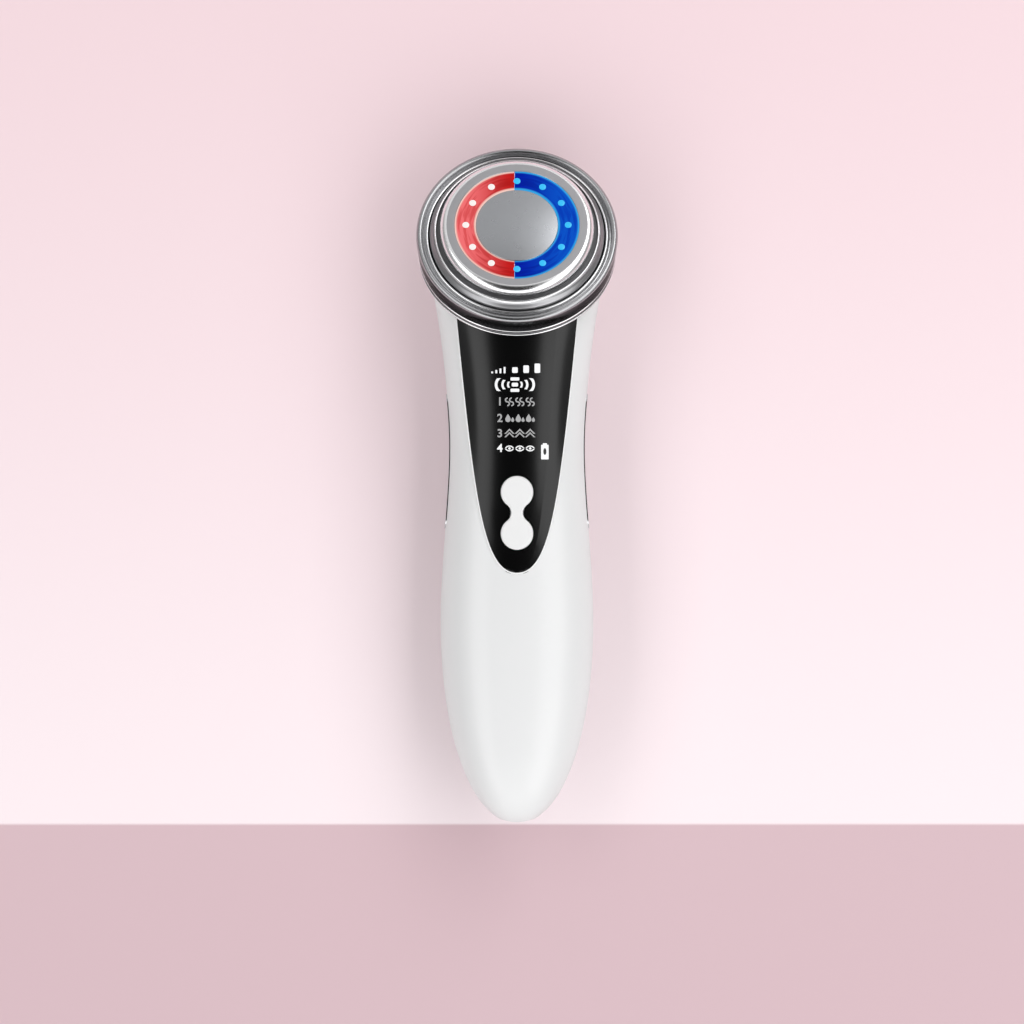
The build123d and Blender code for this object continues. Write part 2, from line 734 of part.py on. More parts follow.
def make_face_electrode():
    """The domed-shoulder metal ring that touches the skin round the lights."""
    inner = glow_outer + fit_gap
    shoulder = face_height - plate_shoulder
    run = electrode_radius - plate_flat_radius
    turn = math.sqrt(0.5)
    wall_inner = electrode_radius - electrode_wall
    return on_head(
        turned(
            Polyline((inner, plate_floor), (inner, face_height), (plate_flat_radius, face_height)),
            ThreePointArc(
                (plate_flat_radius, face_height),
                (plate_flat_radius + run * turn, shoulder + plate_shoulder * turn),
                (electrode_radius, shoulder),
            ),
            Polyline(
                (electrode_radius, shoulder),
                (electrode_radius, flange_top),
                (wall_inner, flange_top),
                (wall_inner, plate_floor),
                (inner, plate_floor),
            ),
        )
    )


def make_light_guide(side):
    """Half of the clear coloured ring that spreads the lamps' light: -1 is red, 1 is blue."""
    top = face_height - glow_recess
    floor = led_board_top + fit_gap
    outer_edge = electrode_radius - electrode_wall - fit_gap
    inner_edge = glow_inner - glow_ledge
    points = [
        (inner_edge, floor),
        (channel_inner, floor),
        (channel_inner, floor + channel_height),
        (channel_outer, floor + channel_height),
        (channel_outer, floor),
        (outer_edge, floor),
        (outer_edge, plate_floor - fit_gap),
        (glow_outer, plate_floor - fit_gap),
        (glow_outer, top - glow_bevel),
        (glow_outer - glow_bevel, top),
        (glow_inner + glow_bevel, top),
        (glow_inner, top - glow_bevel),
        (glow_inner, disc_floor - fit_gap),
        (inner_edge, disc_floor - fit_gap),
    ]
    ring = turned(Polyline(*points, close=True))
    keep = Pos(glow_split + side * (big / 2 + fit_gap / 2), 0, 0) * Box(big, big, big)
    return on_head(ring & keep)


def make_centre_electrode():
    """The domed centre disc on its stem."""
    edge = glow_inner - fit_gap
    rim = face_height - disc_edge
    crown = rim + disc_dome
    dome_radius = (edge**2 + disc_dome**2) / (2 * disc_dome)
    half_turn = math.asin(edge / dome_radius) / 2
    mid = (dome_radius * math.sin(half_turn), crown - dome_radius * (1 - math.cos(half_turn)))
    return on_head(
        turned(
            Polyline((0, crown), (0, stem_foot), (stem_radius, stem_foot), (stem_radius, disc_floor), (edge, disc_floor)),
            Line((edge, disc_floor), (edge, rim)),
            ThreePointArc((edge, rim), mid, (0, crown)),
        )
    )


def make_heater():
    """The flat heater under the centre electrode's stem."""
    return on_head(post(heater_radius, 0, 0, stem_foot - heater_thickness, stem_foot))


def make_led_board():
    """The ring-shaped board that carries the head's lamps."""
    board = post(tower_radius, 0, 0, led_board_height, led_board_top)
    return on_head(board - post(led_board_hole, 0, 0, 0, big))


def make_head_lamps(indices):
    """Lamps on the ring board, in the light guides' channel."""
    lamps = []
    for index in indices:
        lamp = Box(led_size, led_size, led_rise, align=(Align.CENTER, Align.CENTER, Align.MIN))
        lamps.append(on_head(Rot(0, 0, 360 * index / led_count) * (Pos(led_circle, 0, led_board_top) * lamp)))
    return group(lamps)


nodes = {
    "front_shell": make_front_shell,
    "rear_shell": make_rear_shell,
    "display_panel": make_display_panel,
    "side_electrode_left": lambda: make_side_electrode(-1),
    "side_electrode_right": lambda: make_side_electrode(1),
    "contact_springs": make_contact_springs,
    "rocker_key": make_rocker_key,
    "key_bracket": make_key_bracket,
    "key_pin": lambda: across(pivot_radius, pivot_half_length, pivot_height, key_y),
    "switch_cases": make_switches,
    "lower_plunger": lambda: make_plunger(-1),
    "upper_plunger": lambda: make_plunger(1),
    "main_board": make_main_board,
    "board_screws": make_board_screws,
    "icon_lights": make_icon_lights,
    "light_mask": make_light_mask,
    "battery_cell": make_battery,
    "charge_board": make_charge_board,
    "charge_screws": make_charge_screws,
    "charge_socket": make_charge_socket,
    "motor_can": make_motor_can,
    "motor_boot": make_motor_boot,
    "motor_rotor": make_motor_rotor,
    "head_carrier": make_head_carrier,
    "head_screws": make_head_screws,
    "insulating_ring": make_insulating_ring,
    "head_trim": make_head_trim,
    "ring_seal": make_ring_seal,
    "pad_clamp_ring": make_pad_clamp_ring,
    "face_electrode": make_face_electrode,
    "light_guide_red": lambda: make_light_guide(-1),
    "light_guide_blue": lambda: make_light_guide(1),
    "centre_electrode": make_centre_electrode,
    "heater_pad": make_heater,
    "led_board": make_led_board,
    "red_lamps": lambda: make_head_lamps(range(4, 9)),
    "blue_lamps": lambda: make_head_lamps(range(-3, 4)),
}

os.makedirs("parts", exist_ok=True)
for name, make in nodes.items():
    piece = make()
    piece.label = name
    export_step(piece, f"parts/{name}.step")
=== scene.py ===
import json
import math

import bpy
from bpy.props import FloatProperty, FloatVectorProperty, PointerProperty
from mathutils import Matrix, Vector


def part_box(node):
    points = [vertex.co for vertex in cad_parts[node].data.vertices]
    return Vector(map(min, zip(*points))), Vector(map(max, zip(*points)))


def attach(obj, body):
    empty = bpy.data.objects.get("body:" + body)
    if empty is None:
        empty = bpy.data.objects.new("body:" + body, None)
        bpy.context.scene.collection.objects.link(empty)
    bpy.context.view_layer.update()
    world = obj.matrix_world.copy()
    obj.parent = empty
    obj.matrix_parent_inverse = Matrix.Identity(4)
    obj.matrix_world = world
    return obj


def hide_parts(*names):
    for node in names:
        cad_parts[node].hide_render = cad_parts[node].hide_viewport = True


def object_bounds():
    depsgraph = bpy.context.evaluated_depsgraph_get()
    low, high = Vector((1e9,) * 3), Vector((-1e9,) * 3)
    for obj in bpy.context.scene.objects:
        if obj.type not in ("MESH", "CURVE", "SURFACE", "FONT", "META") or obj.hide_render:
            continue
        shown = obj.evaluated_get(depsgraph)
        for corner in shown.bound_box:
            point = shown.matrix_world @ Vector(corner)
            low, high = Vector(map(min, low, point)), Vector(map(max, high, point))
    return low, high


bl_info = {
    "name": "Facial toning device",
    "version": (1, 0, 0),
    "blender": (4, 5, 0),
    "location": "3D View > Sidebar > Toning device",
    "description": "Dresses the packed device: turned head, light ring, gloss panel, icons and finishes",
    "category": "Object",
}

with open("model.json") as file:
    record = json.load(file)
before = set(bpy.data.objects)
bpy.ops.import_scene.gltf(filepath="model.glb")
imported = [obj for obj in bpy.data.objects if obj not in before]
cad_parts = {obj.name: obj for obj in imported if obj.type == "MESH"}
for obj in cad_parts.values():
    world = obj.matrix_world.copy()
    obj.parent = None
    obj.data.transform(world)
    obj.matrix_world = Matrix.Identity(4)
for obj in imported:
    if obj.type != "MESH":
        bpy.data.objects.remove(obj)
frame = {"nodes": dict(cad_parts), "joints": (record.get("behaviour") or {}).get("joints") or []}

MM = 0.001
TURN_STEPS = 192                    # sides of a turned piece
LIFT = 60 * MM                      # well above the whole device
PANEL_COLUMNS, PANEL_ROWS = 12, 30
PANEL_TIP_HALF = 0.4 * MM           # half width of the panel's last row, before it is smoothed round
UNDER_RING = 0.9 * MM               # how far the panel goes on above the plane that the ring stands on
PRINT_THICKNESS = 0.04 * MM
MERGE_DISTANCE = 0.001 * MM
LIT_SHARE = 0.85                    # of a lit piece's colour that is its own light
LINES_PER_METRE = 9000              # of turned and polished metal
LAMP_STEP = 30                      # degrees from one lamp of the light ring to the next
RED_LAMPS, BLUE_LAMPS = range(4, 9), range(-3, 4)


# ------------------------------------------------------------------ places read from the frame
def joint(name):
    """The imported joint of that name."""
    return next(entry for entry in frame["joints"] if entry["name"] == name)


def centre(node):
    """The middle of a CAD node's box."""
    low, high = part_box(node)
    return (low + high) / 2


# The lamp board is a plain disc, so its middle lies on the head's axis.
HEAD_AXIS = Vector(joint("ring_lift")["axis"]).normalized()
LAMP_BOARD_HEIGHT = 8.5 * MM
HEAD_ORIGIN = centre("led_board") - HEAD_AXIS * LAMP_BOARD_HEIGHT
HEAD_TILT = math.atan2(HEAD_AXIS.y, HEAD_AXIS.z)
HEAD_PLACE = Matrix.Translation(HEAD_ORIGIN) @ Matrix.Rotation(-HEAD_TILT, 4, "X")
CAD_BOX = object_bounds()

# Turned pieces and printed marks are drawn in millimetres.
PLATE_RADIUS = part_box("face_electrode")[1].x / MM
RING_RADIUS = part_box("pad_clamp_ring")[1].x / MM
ROW_PLACES = (22.28, 17.88, 13.84, 9.91)        # the four rows' middles along the handle
SYMBOL_PLACES = (-2.0, 0.75, 3.5)               # the symbols' middles across the handle


# ------------------------------------------------------------------ shader sums
MIX_FIRST, MIX_SECOND, MIX_RESULT = 6, 7, 2     # a colour Mix node's sockets
# These rays see the floor's own colour, and the rest see what it throws back.
FLOOR_RAYS = ("Is Camera Ray", "Is Glossy Ray", "Is Transmission Ray")


def arithmetic(operation, swapped=False):
    """A method that adds one Math node for an operator, with its two sides swapped if asked."""

    def method(self, other):
        sides = [other, self] if swapped else [self, other]
        return self.paint.node("ShaderNodeMath", {"operation": operation}, sides)

    return method


class Wire:
    """A node's output that takes part in Python sums."""

    def __init__(self, paint, socket):
        self.paint = paint
        self.socket = socket

    __add__ = arithmetic("ADD")
    __radd__ = arithmetic("ADD", swapped=True)
    __sub__ = arithmetic("SUBTRACT")
    __rsub__ = arithmetic("SUBTRACT", swapped=True)
    __mul__ = arithmetic("MULTIPLY")
    __rmul__ = arithmetic("MULTIPLY", swapped=True)
    __pow__ = arithmetic("POWER")

    def size(self):
        """The value without its sign."""
        return self.paint.node("ShaderNodeMath", {"operation": "ABSOLUTE"}, [self])


class Paint:
    """A material: its Principled shader and the nodes that feed it."""

    def __init__(self, name, **sockets):
        self.material = bpy.data.materials.new(name)
        self.material.use_nodes = True
        self.tree = self.material.node_tree
        self.shader = self.tree.nodes["Principled BSDF"]
        for words, value in sockets.items():
            self.feed(words.replace("_", " ").title().replace("Ior", "IOR"), value)

    def feed(self, name, value):
        """Sets or links one socket of the shader."""
        self.join(self.shader.inputs[name], value)

    def join(self, socket, value):
        """Sets a socket to a number or colour, or links a wire to it."""
        if isinstance(value, Wire):
            self.tree.links.new(value.socket, socket)
        elif hasattr(value, "__len__") and len(value) == 3 and len(socket.default_value) == 4:
            socket.default_value = (*value, 1.0)
        else:
            socket.default_value = value

    def node(self, kind, settings=None, values=(), output=0):
        """One node: its type, its settings, and the values or wires of its sockets."""
        node = self.tree.nodes.new(kind)
        for name, value in (settings or {}).items():
            setattr(node, name, value)
        pairs = values.items() if isinstance(values, dict) else enumerate(values)
        for name, value in pairs:
            self.join(node.inputs[name], value)
        return Wire(self, node.outputs[output])

    def position(self):
        """The point on the object, in metres."""
        return self.node("ShaderNodeTexCoord", output="Object")

    def on_head(self):
        """The point as x, y and height about the head's own axis, in metres."""
        values = {"Vector": self.position(), "Location": HEAD_ORIGIN, "Rotation": (-HEAD_TILT, 0, 0)}
        return self.node("ShaderNodeMapping", {"vector_type": "TEXTURE"}, values)

    def parts(self, vector):
        """The three numbers of a vector."""
        split = self.node("ShaderNodeSeparateXYZ", values=[vector]).socket.node
        return [Wire(self, socket) for socket in split.outputs]

    def radius(self, x, y):
        """The distance from the axis."""
        return (x * x + y * y) ** 0.5

    def step(self, value, start, end, low=0.0, high=1.0):
        """A smooth change from low to high while the value goes from start to end."""
        settings = {"interpolation_type": "SMOOTHSTEP"}
        return self.node("ShaderNodeMapRange", settings, [value, start, end, low, high])

    def noise(self, scale, detail=2.0, vector=None):
        """A soft random pattern between 0 and 1, with this many spots to the metre."""
        values = {"Vector": vector or self.position(), "Scale": scale, "Detail": detail}
        return self.node("ShaderNodeTexNoise", values=values)

    def ring_noise(self, value, scale):
        """A random pattern that changes with one number only."""
        values = {"W": value, "Scale": scale, "Detail": 3.0}
        return self.node("ShaderNodeTexNoise", {"noise_dimensions": "1D"}, values)

    def mix(self, share, first, second):
        """A colour between two colours."""
        colors = {0: share, MIX_FIRST: first, MIX_SECOND: second}
        return self.node("ShaderNodeMix", {"data_type": "RGBA"}, colors, output=MIX_RESULT)

    def bump(self, height, depth):
        """Small relief of this depth in metres."""
        values = {"Strength": 1.0, "Distance": depth, "Height": height}
        self.feed("Normal", self.node("ShaderNodeBump", values=values))


class Sky(Paint):
    """The world's background, built with the same sums."""

    def __init__(self, name):
        world = bpy.data.worlds.new(name)
        bpy.context.scene.world = world
        world.use_nodes = True
        self.tree = world.node_tree
        self.shader = self.tree.nodes["Background"]


def shaded(color, share):
    """A colour made darker."""
    return tuple(share * part for part in color)


def grain(paint, scale, depth, rough, spread):
    """Fine relief, and a roughness that wanders a little in patches much wider than the relief."""
    patch = 12                          # times as wide as a spot of the relief
    paint.bump(paint.noise(scale), depth)
    paint.feed("Roughness", paint.noise(scale / patch) * spread + (rough - spread / 2))


# ------------------------------------------------------------------ finishes
def moulded_white():
    """Gloss white moulded plastic with a faint ripple and the slightest change of tone."""
    paint = Paint("moulded_white", coat_weight=0.2, coat_roughness=0.15)
    tone = paint.noise(scale=38, detail=3)
    paint.feed("Base Color", paint.mix(tone, (0.79, 0.793, 0.797), (0.82, 0.822, 0.825)))
    grain(paint, scale=900, depth=0.006 * MM, rough=0.34, spread=0.06)
    return paint.material


def rim_white():
    """The brightest white, of the polished bead round the panel: whiter than the shell it is part of, as a
    painted highlight.
    """
    paint = Paint("rim_white", coat_weight=0.5, coat_roughness=0.1)
    paint.feed("Base Color", paint.mix(paint.noise(300), (0.93, 0.93, 0.93), (0.97, 0.97, 0.97)))
    grain(paint, scale=900, depth=0.004 * MM, rough=0.25, spread=0.05)
    return paint.material


def key_white():
    """Satin white moulded plastic, a little softer than the handle's."""
    paint = Paint("key_white", coat_weight=0.15, coat_roughness=0.2)
    paint.feed("Base Color", paint.mix(paint.noise(120), (0.83, 0.83, 0.83), (0.87, 0.87, 0.87)))
    grain(paint, scale=2600, depth=0.008 * MM, rough=0.42, spread=0.08)
    return paint.material


def piano_black():
    """Deep gloss black moulding, with faint wipe marks in its shine."""
    paint = Paint("piano_black", base_color=(0.0006, 0.0006, 0.0007), ior=1.5)
    grain(paint, scale=420, depth=0.002 * MM, rough=0.24, spread=0.05)
    return paint.material


def icon_white():
    """White ink lit from behind."""
    paint = Paint("icon_white", base_color=(0.30, 0.30, 0.30), roughness=0.5, emission_strength=0.75)
    paint.feed("Emission Color", paint.mix(paint.noise(900), (0.80, 0.81, 0.82), (0.97, 0.98, 1.0)))
    return paint.material


def icon_grey():
    """The dimmer ink of marks that aren't lit from behind, with a faint painted glow."""
    paint = Paint("icon_grey", base_color=(0.20, 0.20, 0.20), roughness=0.5, emission_strength=0.40)
    paint.feed("Emission Color", paint.mix(paint.noise(900), (0.42, 0.42, 0.43), (0.62, 0.62, 0.63)))
    return paint.material


def turned_metal(name, color, rough, line_depth, edge=1.0):
    """Metal with the fine lines that turning and polishing leave, running round the head."""
    spread = 0.04
    paint = Paint(name, metallic=1.0, specular_tint=(edge, edge, edge))
    x, y, height = paint.parts(paint.on_head())
    across = paint.radius(x, y) + height * 0.7
    lines = paint.ring_noise(across, LINES_PER_METRE)
    paint.feed("Base Color", paint.mix(paint.noise(160), shaded(color, 0.93), color))
    paint.feed("Roughness", lines * spread + (rough - spread / 2))
    paint.bump(lines, line_depth)
    return paint.material


def satin_metal(name, color, rough):
    """Bead-blasted metal: an even fine grain."""
    paint = Paint(name, metallic=1.0)
    paint.feed("Base Color", paint.mix(paint.noise(300), shaded(color, 0.95), color))
    grain(paint, scale=5200, depth=0.0005 * MM, rough=rough, spread=0.04)
    return paint.material


def matt(name, color, rough):
    """Plain moulded or pressed material with a fine tooth."""
    paint = Paint(name)
    paint.feed("Base Color", paint.mix(paint.noise(180), shaded(color, 0.85), color))
    grain(paint, scale=1800, depth=0.01 * MM, rough=rough, spread=0.1)
    return paint.material


def plain_metal(name, color, rough):
    """Rolled or drawn metal with a light grain."""
    paint = Paint(name, metallic=1.0)
    paint.feed("Base Color", paint.mix(paint.noise(500), shaded(color, 0.9), color))
    grain(paint, scale=2200, depth=0.005 * MM, rough=rough, spread=0.1)
    return paint.material


def circuit_board(name, mask, copper):
    """A circuit board: solder mask with copper tracks under it and a few bare pads."""
    paint = Paint(name, roughness=0.35, coat_weight=0.3)
    settings = {"feature": "F1", "distance": "MANHATTAN"}
    values = {"Vector": paint.position(), "Scale": 260.0, "Randomness": 0.9}
    track_place, pad_reach = 0.32, 0.12         # distances from the middle of a cell
    cells = paint.node("ShaderNodeTexVoronoi", settings, values, output="Distance")
    track = paint.step((cells - track_place).size(), 0.05, 0.02)
    pad = paint.step(cells, pad_reach, pad_reach - 0.02)
    ground = paint.mix(track, mask, tuple(min(1.0, 1.6 * part + 0.02) for part in mask))
    paint.feed("Base Color", paint.mix(pad, ground, copper))
    paint.feed("Metallic", pad)
    paint.bump(track + pad, 0.03 * MM)
    return paint.material


def cell_wrap():
    """Shrink sleeve of a round cell: a coloured body with a pale band near its contact."""
    paint = Paint("cell_wrap", roughness=0.3, coat_weight=0.4)
    _, y, _ = paint.parts(paint.position())
    _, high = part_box("battery_cell")
    band_below, band_half, cap_height = 6 * MM, 1.5 * MM, 0.85 * MM
    off_band = (y - (high.y - band_below)).size()
    band = paint.step(off_band, band_half + 0.1 * MM, band_half - 0.1 * MM)
    cap = paint.step(y, high.y - cap_height - 0.05 * MM, high.y - cap_height + 0.05 * MM)
    body = paint.mix(band, (0.02, 0.10, 0.22), (0.72, 0.74, 0.76))
    paint.feed("Base Color", paint.mix(cap, body, (0.72, 0.72, 0.70)))
    paint.feed("Metallic", cap)
    paint.bump(paint.noise(500), 0.02 * MM)
    return paint.material


def heater_film():
    """Amber film with rings of foil track."""
    paint = Paint("heater_film", roughness=0.35)
    x, y, _ = paint.parts(paint.on_head())
    turns = 5200.0                              # radians of the wave to the metre
    wave = paint.node("ShaderNodeMath", {"operation": "SINE"}, [paint.radius(x, y) * turns])
    track = paint.step(wave, 0.1, 0.3)
    paint.feed("Base Color", paint.mix(track, (0.55, 0.22, 0.04), (0.62, 0.50, 0.36)))
    paint.feed("Metallic", track)
    return paint.material


def light_guide(name, near, far, edge):
    """A clear coloured ring lit from below: deeper by the split, lighter away from it, with bright edges and
    streaks of painted reflection.
    """
    head = bpy.context.scene.toning_head
    edge_width = 0.65 * MM
    paint = Paint(name, roughness=0.2, specular_ior_level=0.03, emission_strength=LIT_SHARE)
    x, y, _ = paint.parts(paint.on_head())
    radius = paint.radius(x, y)
    off_split = (x - head.glow_split).size()
    away = paint.step(off_split, 0.05 * head.glow_outer, 0.85 * head.glow_outer)
    turn = paint.node("ShaderNodeMath", {"operation": "ARCTAN2"}, [y, x.size()])
    along = paint.node("ShaderNodeCombineXYZ", values=[turn * 1.2, radius * 700.0, 0.0])
    # Streaks of painted reflection across the glow: they darken the deep colour and pull the far colour
    # halfway to the deep one.
    painted_reflection_streaks = paint.step(paint.noise(1.6, 2, along), 0.42, 0.62)
    deep = paint.mix(painted_reflection_streaks, near, shaded(near, 0.8))
    light = paint.mix(painted_reflection_streaks, far, tuple(0.5 * (a + b) for a, b in zip(near, far)))
    body = paint.mix(away, deep, light)
    inner = paint.step(radius, head.glow_inner + edge_width, head.glow_inner)
    outer = paint.step(radius, head.glow_outer - edge_width, head.glow_outer)
    color = paint.mix(inner + outer, body, edge)
    paint.feed("Base Color", paint.mix(1 - LIT_SHARE, (0.0, 0.0, 0.0), color))
    paint.feed("Emission Color", color)
    return paint.material


def lamp_glow(name, color):
    """The bright face of a lamp."""
    paint = Paint(name, roughness=0.3, emission_strength=LIT_SHARE)
    glow = paint.mix(paint.noise(1500), color, shaded(color, 0.9))
    paint.feed("Base Color", paint.mix(1 - LIT_SHARE, (0.0, 0.0, 0.0), glow))
    paint.feed("Emission Color", glow)
    return paint.material


# ------------------------------------------------------------------ modelling by operator
def clear_selection():
    """Nothing selected, and no object left open in edit mode."""
    if bpy.context.object and bpy.context.object.mode != "OBJECT":
        bpy.ops.object.mode_set(mode="OBJECT")
    bpy.ops.object.select_all(action="DESELECT")


def pick(piece):
    """One object selected and active."""
    clear_selection()
    piece.select_set(True)
    bpy.context.view_layer.objects.active = piece


def begin(piece):
    """One object open in edit mode with all of it selected."""
    pick(piece)
    bpy.ops.object.mode_set(mode="EDIT")
    bpy.ops.mesh.select_all(action="SELECT")


def done(piece, name, body, finishes, angle):
    """A finished piece: named, placed in its mesh, smoothed, painted and riding on its body."""
    pick(piece)
    bpy.ops.object.transform_apply(location=True, rotation=True, scale=True)
    bpy.ops.object.shade_smooth_by_angle(angle=math.radians(angle))
    piece.name = name
    piece.data.name = name
    for finish in finishes:
        piece.data.materials.append(finish)
    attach(piece, body)
    clear_selection()


def modify(piece, kind, **settings):
    """Adds one modifier and applies it."""
    pick(piece)
    modifier = piece.modifiers.new(kind.title(), kind)
    for name, value in settings.items():
        setattr(modifier, name, value)
    bpy.ops.object.modifier_apply(modifier=modifier.name)


def drop_onto(piece, target, offset, **settings):
    """Presses a piece straight down onto a surface, and leaves it this far above."""
    modify(
        piece,
        "SHRINKWRAP",
        wrap_method="PROJECT",
        use_project_z=True,
        use_negative_direction=True,
        use_positive_direction=False,
        target=target,
        offset=offset,
        **settings,
    )


def stretch(piece, x, y, z):
    """Scales a new primitive about its own middle, in its mesh."""
    piece.scale = (x, y, z)
    bpy.ops.object.transform_apply(location=False, rotation=False, scale=True)


def arc(middle, radius, start, end, count):
    """Points on an arc of the profile, from one angle to another in degrees."""
    turns = [math.radians(start + (end - start) * step / count) for step in range(count + 1)]
    return [(middle[0] + radius * math.cos(turn), middle[1] + radius * math.sin(turn)) for turn in turns]


def lathe(profile, closed=True):
    """A turned piece about Z: a circle extruded, widened and lifted along a profile in millimetres."""
    clear_selection()
    points = [(radius * MM, height * MM) for radius, height in profile]
    radius, height = points[0]
    bpy.ops.mesh.primitive_circle_add(vertices=TURN_STEPS, radius=radius, location=(0, 0, height))
    piece = bpy.context.object
    bpy.ops.object.transform_apply(location=True)
    begin(piece)
    for (radius, height), (next_radius, next_height) in zip(points, points[1:]):
        lift = {"value": (0, 0, next_height - height)}
        bpy.ops.mesh.extrude_edges_move(TRANSFORM_OT_translate=lift)
        share = next_radius / radius
        bpy.ops.transform.resize(value=(share, share, 1))
    if not closed:
        bpy.ops.mesh.merge(type="CENTER")
    bpy.ops.mesh.select_all(action="SELECT")
    bpy.ops.mesh.remove_doubles(threshold=MERGE_DISTANCE)
    bpy.ops.mesh.normals_make_consistent(inside=False)
    bpy.ops.object.mode_set(mode="OBJECT")
    return piece


def onto_head(piece):
    """Moves a piece modelled about Z to its place on the head."""
    piece.matrix_world = HEAD_PLACE
    return piece


def finish_faces(piece, choose):
    """Gives each face the finish that its radius and height on the head call for, in millimetres."""
    for face in piece.data.polygons:
        radius = math.hypot(face.center.x, face.center.y)
        face.material_index = choose(radius / MM, face.center.z / MM)


def gather(pieces):
    """Several objects made one, each with its place in its mesh."""
    clear_selection()
    for piece in pieces:
        piece.select_set(True)
    bpy.context.view_layer.objects.active = pieces[0]
    bpy.ops.object.transform_apply(location=True, rotation=True, scale=True)
    if len(pieces) > 1:
        bpy.ops.object.join()
    return bpy.context.object


def mark_bar(x, y, width, height, corner):
    """A flat bar with rounded corners, in millimetres."""
    clear_selection()
    bpy.ops.mesh.primitive_plane_add(size=MM, location=(x * MM, y * MM, 0))
    bar = bpy.context.object
    stretch(bar, width, height, 1)
    begin(bar)
    bpy.ops.mesh.bevel(offset=corner * MM, segments=4, affect="VERTICES")
    bpy.ops.object.mode_set(mode="OBJECT")
    return bar


def growing_bars(count, x, y, spacing, width, height, growth, corner):
    """Bars that stand on one line and grow to the right."""
    return [
        mark_bar(x + spacing * step, y + growth / 2 * step, width, height + growth * step, corner)
        for step in range(count)
    ]


def mark_ring(x, y, radius, width, cuts, sides=48):
    """A flat ring cut by lines, each a point and the side to clear, in millimetres about its centre."""
    clear_selection()
    inner = radius - width / 2
    bpy.ops.mesh.primitive_circle_add(vertices=sides, radius=inner * MM, location=(x * MM, y * MM, 0))
    ring = bpy.context.object
    begin(ring)
    bpy.ops.mesh.extrude_edges_move()
    share = (radius + width / 2) / inner
    bpy.ops.transform.resize(value=(share, share, 1), center_override=(x * MM, y * MM, 0))
    for point, away in cuts:
        bpy.ops.mesh.select_all(action="SELECT")
        place = ((x + point[0]) * MM, (y + point[1]) * MM, 0)
        bpy.ops.mesh.bisect(plane_co=place, plane_no=(*away, 0), clear_outer=True)
    bpy.ops.object.mode_set(mode="OBJECT")
    return ring


def mark_arc(x, y, radius, width, half_height, side):
    """One bracket of the wave symbol, with its middle at x and its round side outwards."""
    cuts = [((0, half_height), (0, 1)), ((0, -half_height), (0, -1)), ((0, 0), (-side, 0))]
    return mark_ring(x - side * radius, y, radius, width, cuts)


def mark_dot(x, y, radius):
    """A filled round dot."""
    clear_selection()
    place = (x * MM, y * MM, 0)
    bpy.ops.mesh.primitive_circle_add(vertices=24, radius=radius * MM, fill_type="NGON", location=place)
    return bpy.context.object


def mark_drop(x, y, radius):
    """A drop: a dot drawn up to a point."""
    drop = mark_dot(x, y, radius)
    begin(drop)
    bpy.ops.mesh.select_all(action="DESELECT")
    bpy.ops.object.mode_set(mode="OBJECT")
    top = max(drop.data.vertices, key=lambda vertex: vertex.co.y)
    top.select = True
    bpy.ops.object.mode_set(mode="EDIT")
    bpy.ops.transform.translate(
        value=(0, radius * MM, 0),
        use_proportional_edit=True,
        proportional_edit_falloff="SHARP",
        proportional_size=1.3 * radius * MM,
    )
    bpy.ops.object.mode_set(mode="OBJECT")
    return drop


def mark_digit(x, y, digit, height):
    """A plain digit."""
    size_to_height = 1.37               # of the built-in font
    clear_selection()
    bpy.ops.object.text_add(location=(x * MM, y * MM, 0))
    text = bpy.context.object
    text.data.body = str(digit)
    text.data.size = size_to_height * height * MM
    text.data.align_x = "CENTER"
    text.data.align_y = "CENTER"
    text.data.offset = 0.06 * MM
    bpy.ops.object.convert(target="MESH")
    return bpy.context.object


def lay_on_panel(pieces, name, finish, lift=0.03 * MM):
    """Flat marks joined, laid down on the panel's curved front, and given the thickness of print."""
    mark = gather(pieces)
    begin(mark)
    bpy.ops.mesh.quads_convert_to_tris()
    bpy.ops.mesh.subdivide(number_cuts=2)
    bpy.ops.transform.translate(value=(0, 0, LIFT))
    bpy.ops.mesh.remove_doubles(threshold=MERGE_DISTANCE / 10)
    bpy.ops.object.mode_set(mode="OBJECT")
    drop_onto(mark, bpy.data.objects["front_panel"], lift)
    modify(mark, "SOLIDIFY", thickness=PRINT_THICKNESS, offset=0)
    begin(mark)
    bpy.ops.mesh.normals_make_consistent(inside=False)
    bpy.ops.object.mode_set(mode="OBJECT")
    done(mark, name, "device", [finish], 30)


def paint_node(node, finish):
    """Gives a CAD node its finish."""
    mesh = frame["nodes"][node].data
    mesh.materials.clear()
    mesh.materials.append(finish)


# ------------------------------------------------------------------ settings
def length(name, default, description):
    """A size in metres, never below zero, shown in the scene's own length unit."""
    limits = {"min": 0.0, "precision": 5, "subtype": "DISTANCE", "unit": "LENGTH"}
    return FloatProperty(name=name, description=description, default=default, **limits)


def signed_length(name, default, description):
    """A place along or across the handle, in metres, which can be below zero."""
    shown = {"precision": 5, "subtype": "DISTANCE", "unit": "LENGTH"}
    return FloatProperty(name=name, description=description, default=default, **shown)


def brightness(name, default, description):
    """How bright a soft box looks."""
    return FloatProperty(name=name, description=description, default=default, min=0.0)


def shade(name, default, description):
    """A colour."""
    limits = {"size": 3, "min": 0.0, "max": 1.0, "subtype": "COLOR"}
    return FloatVectorProperty(name=name, description=description, default=default, **limits)


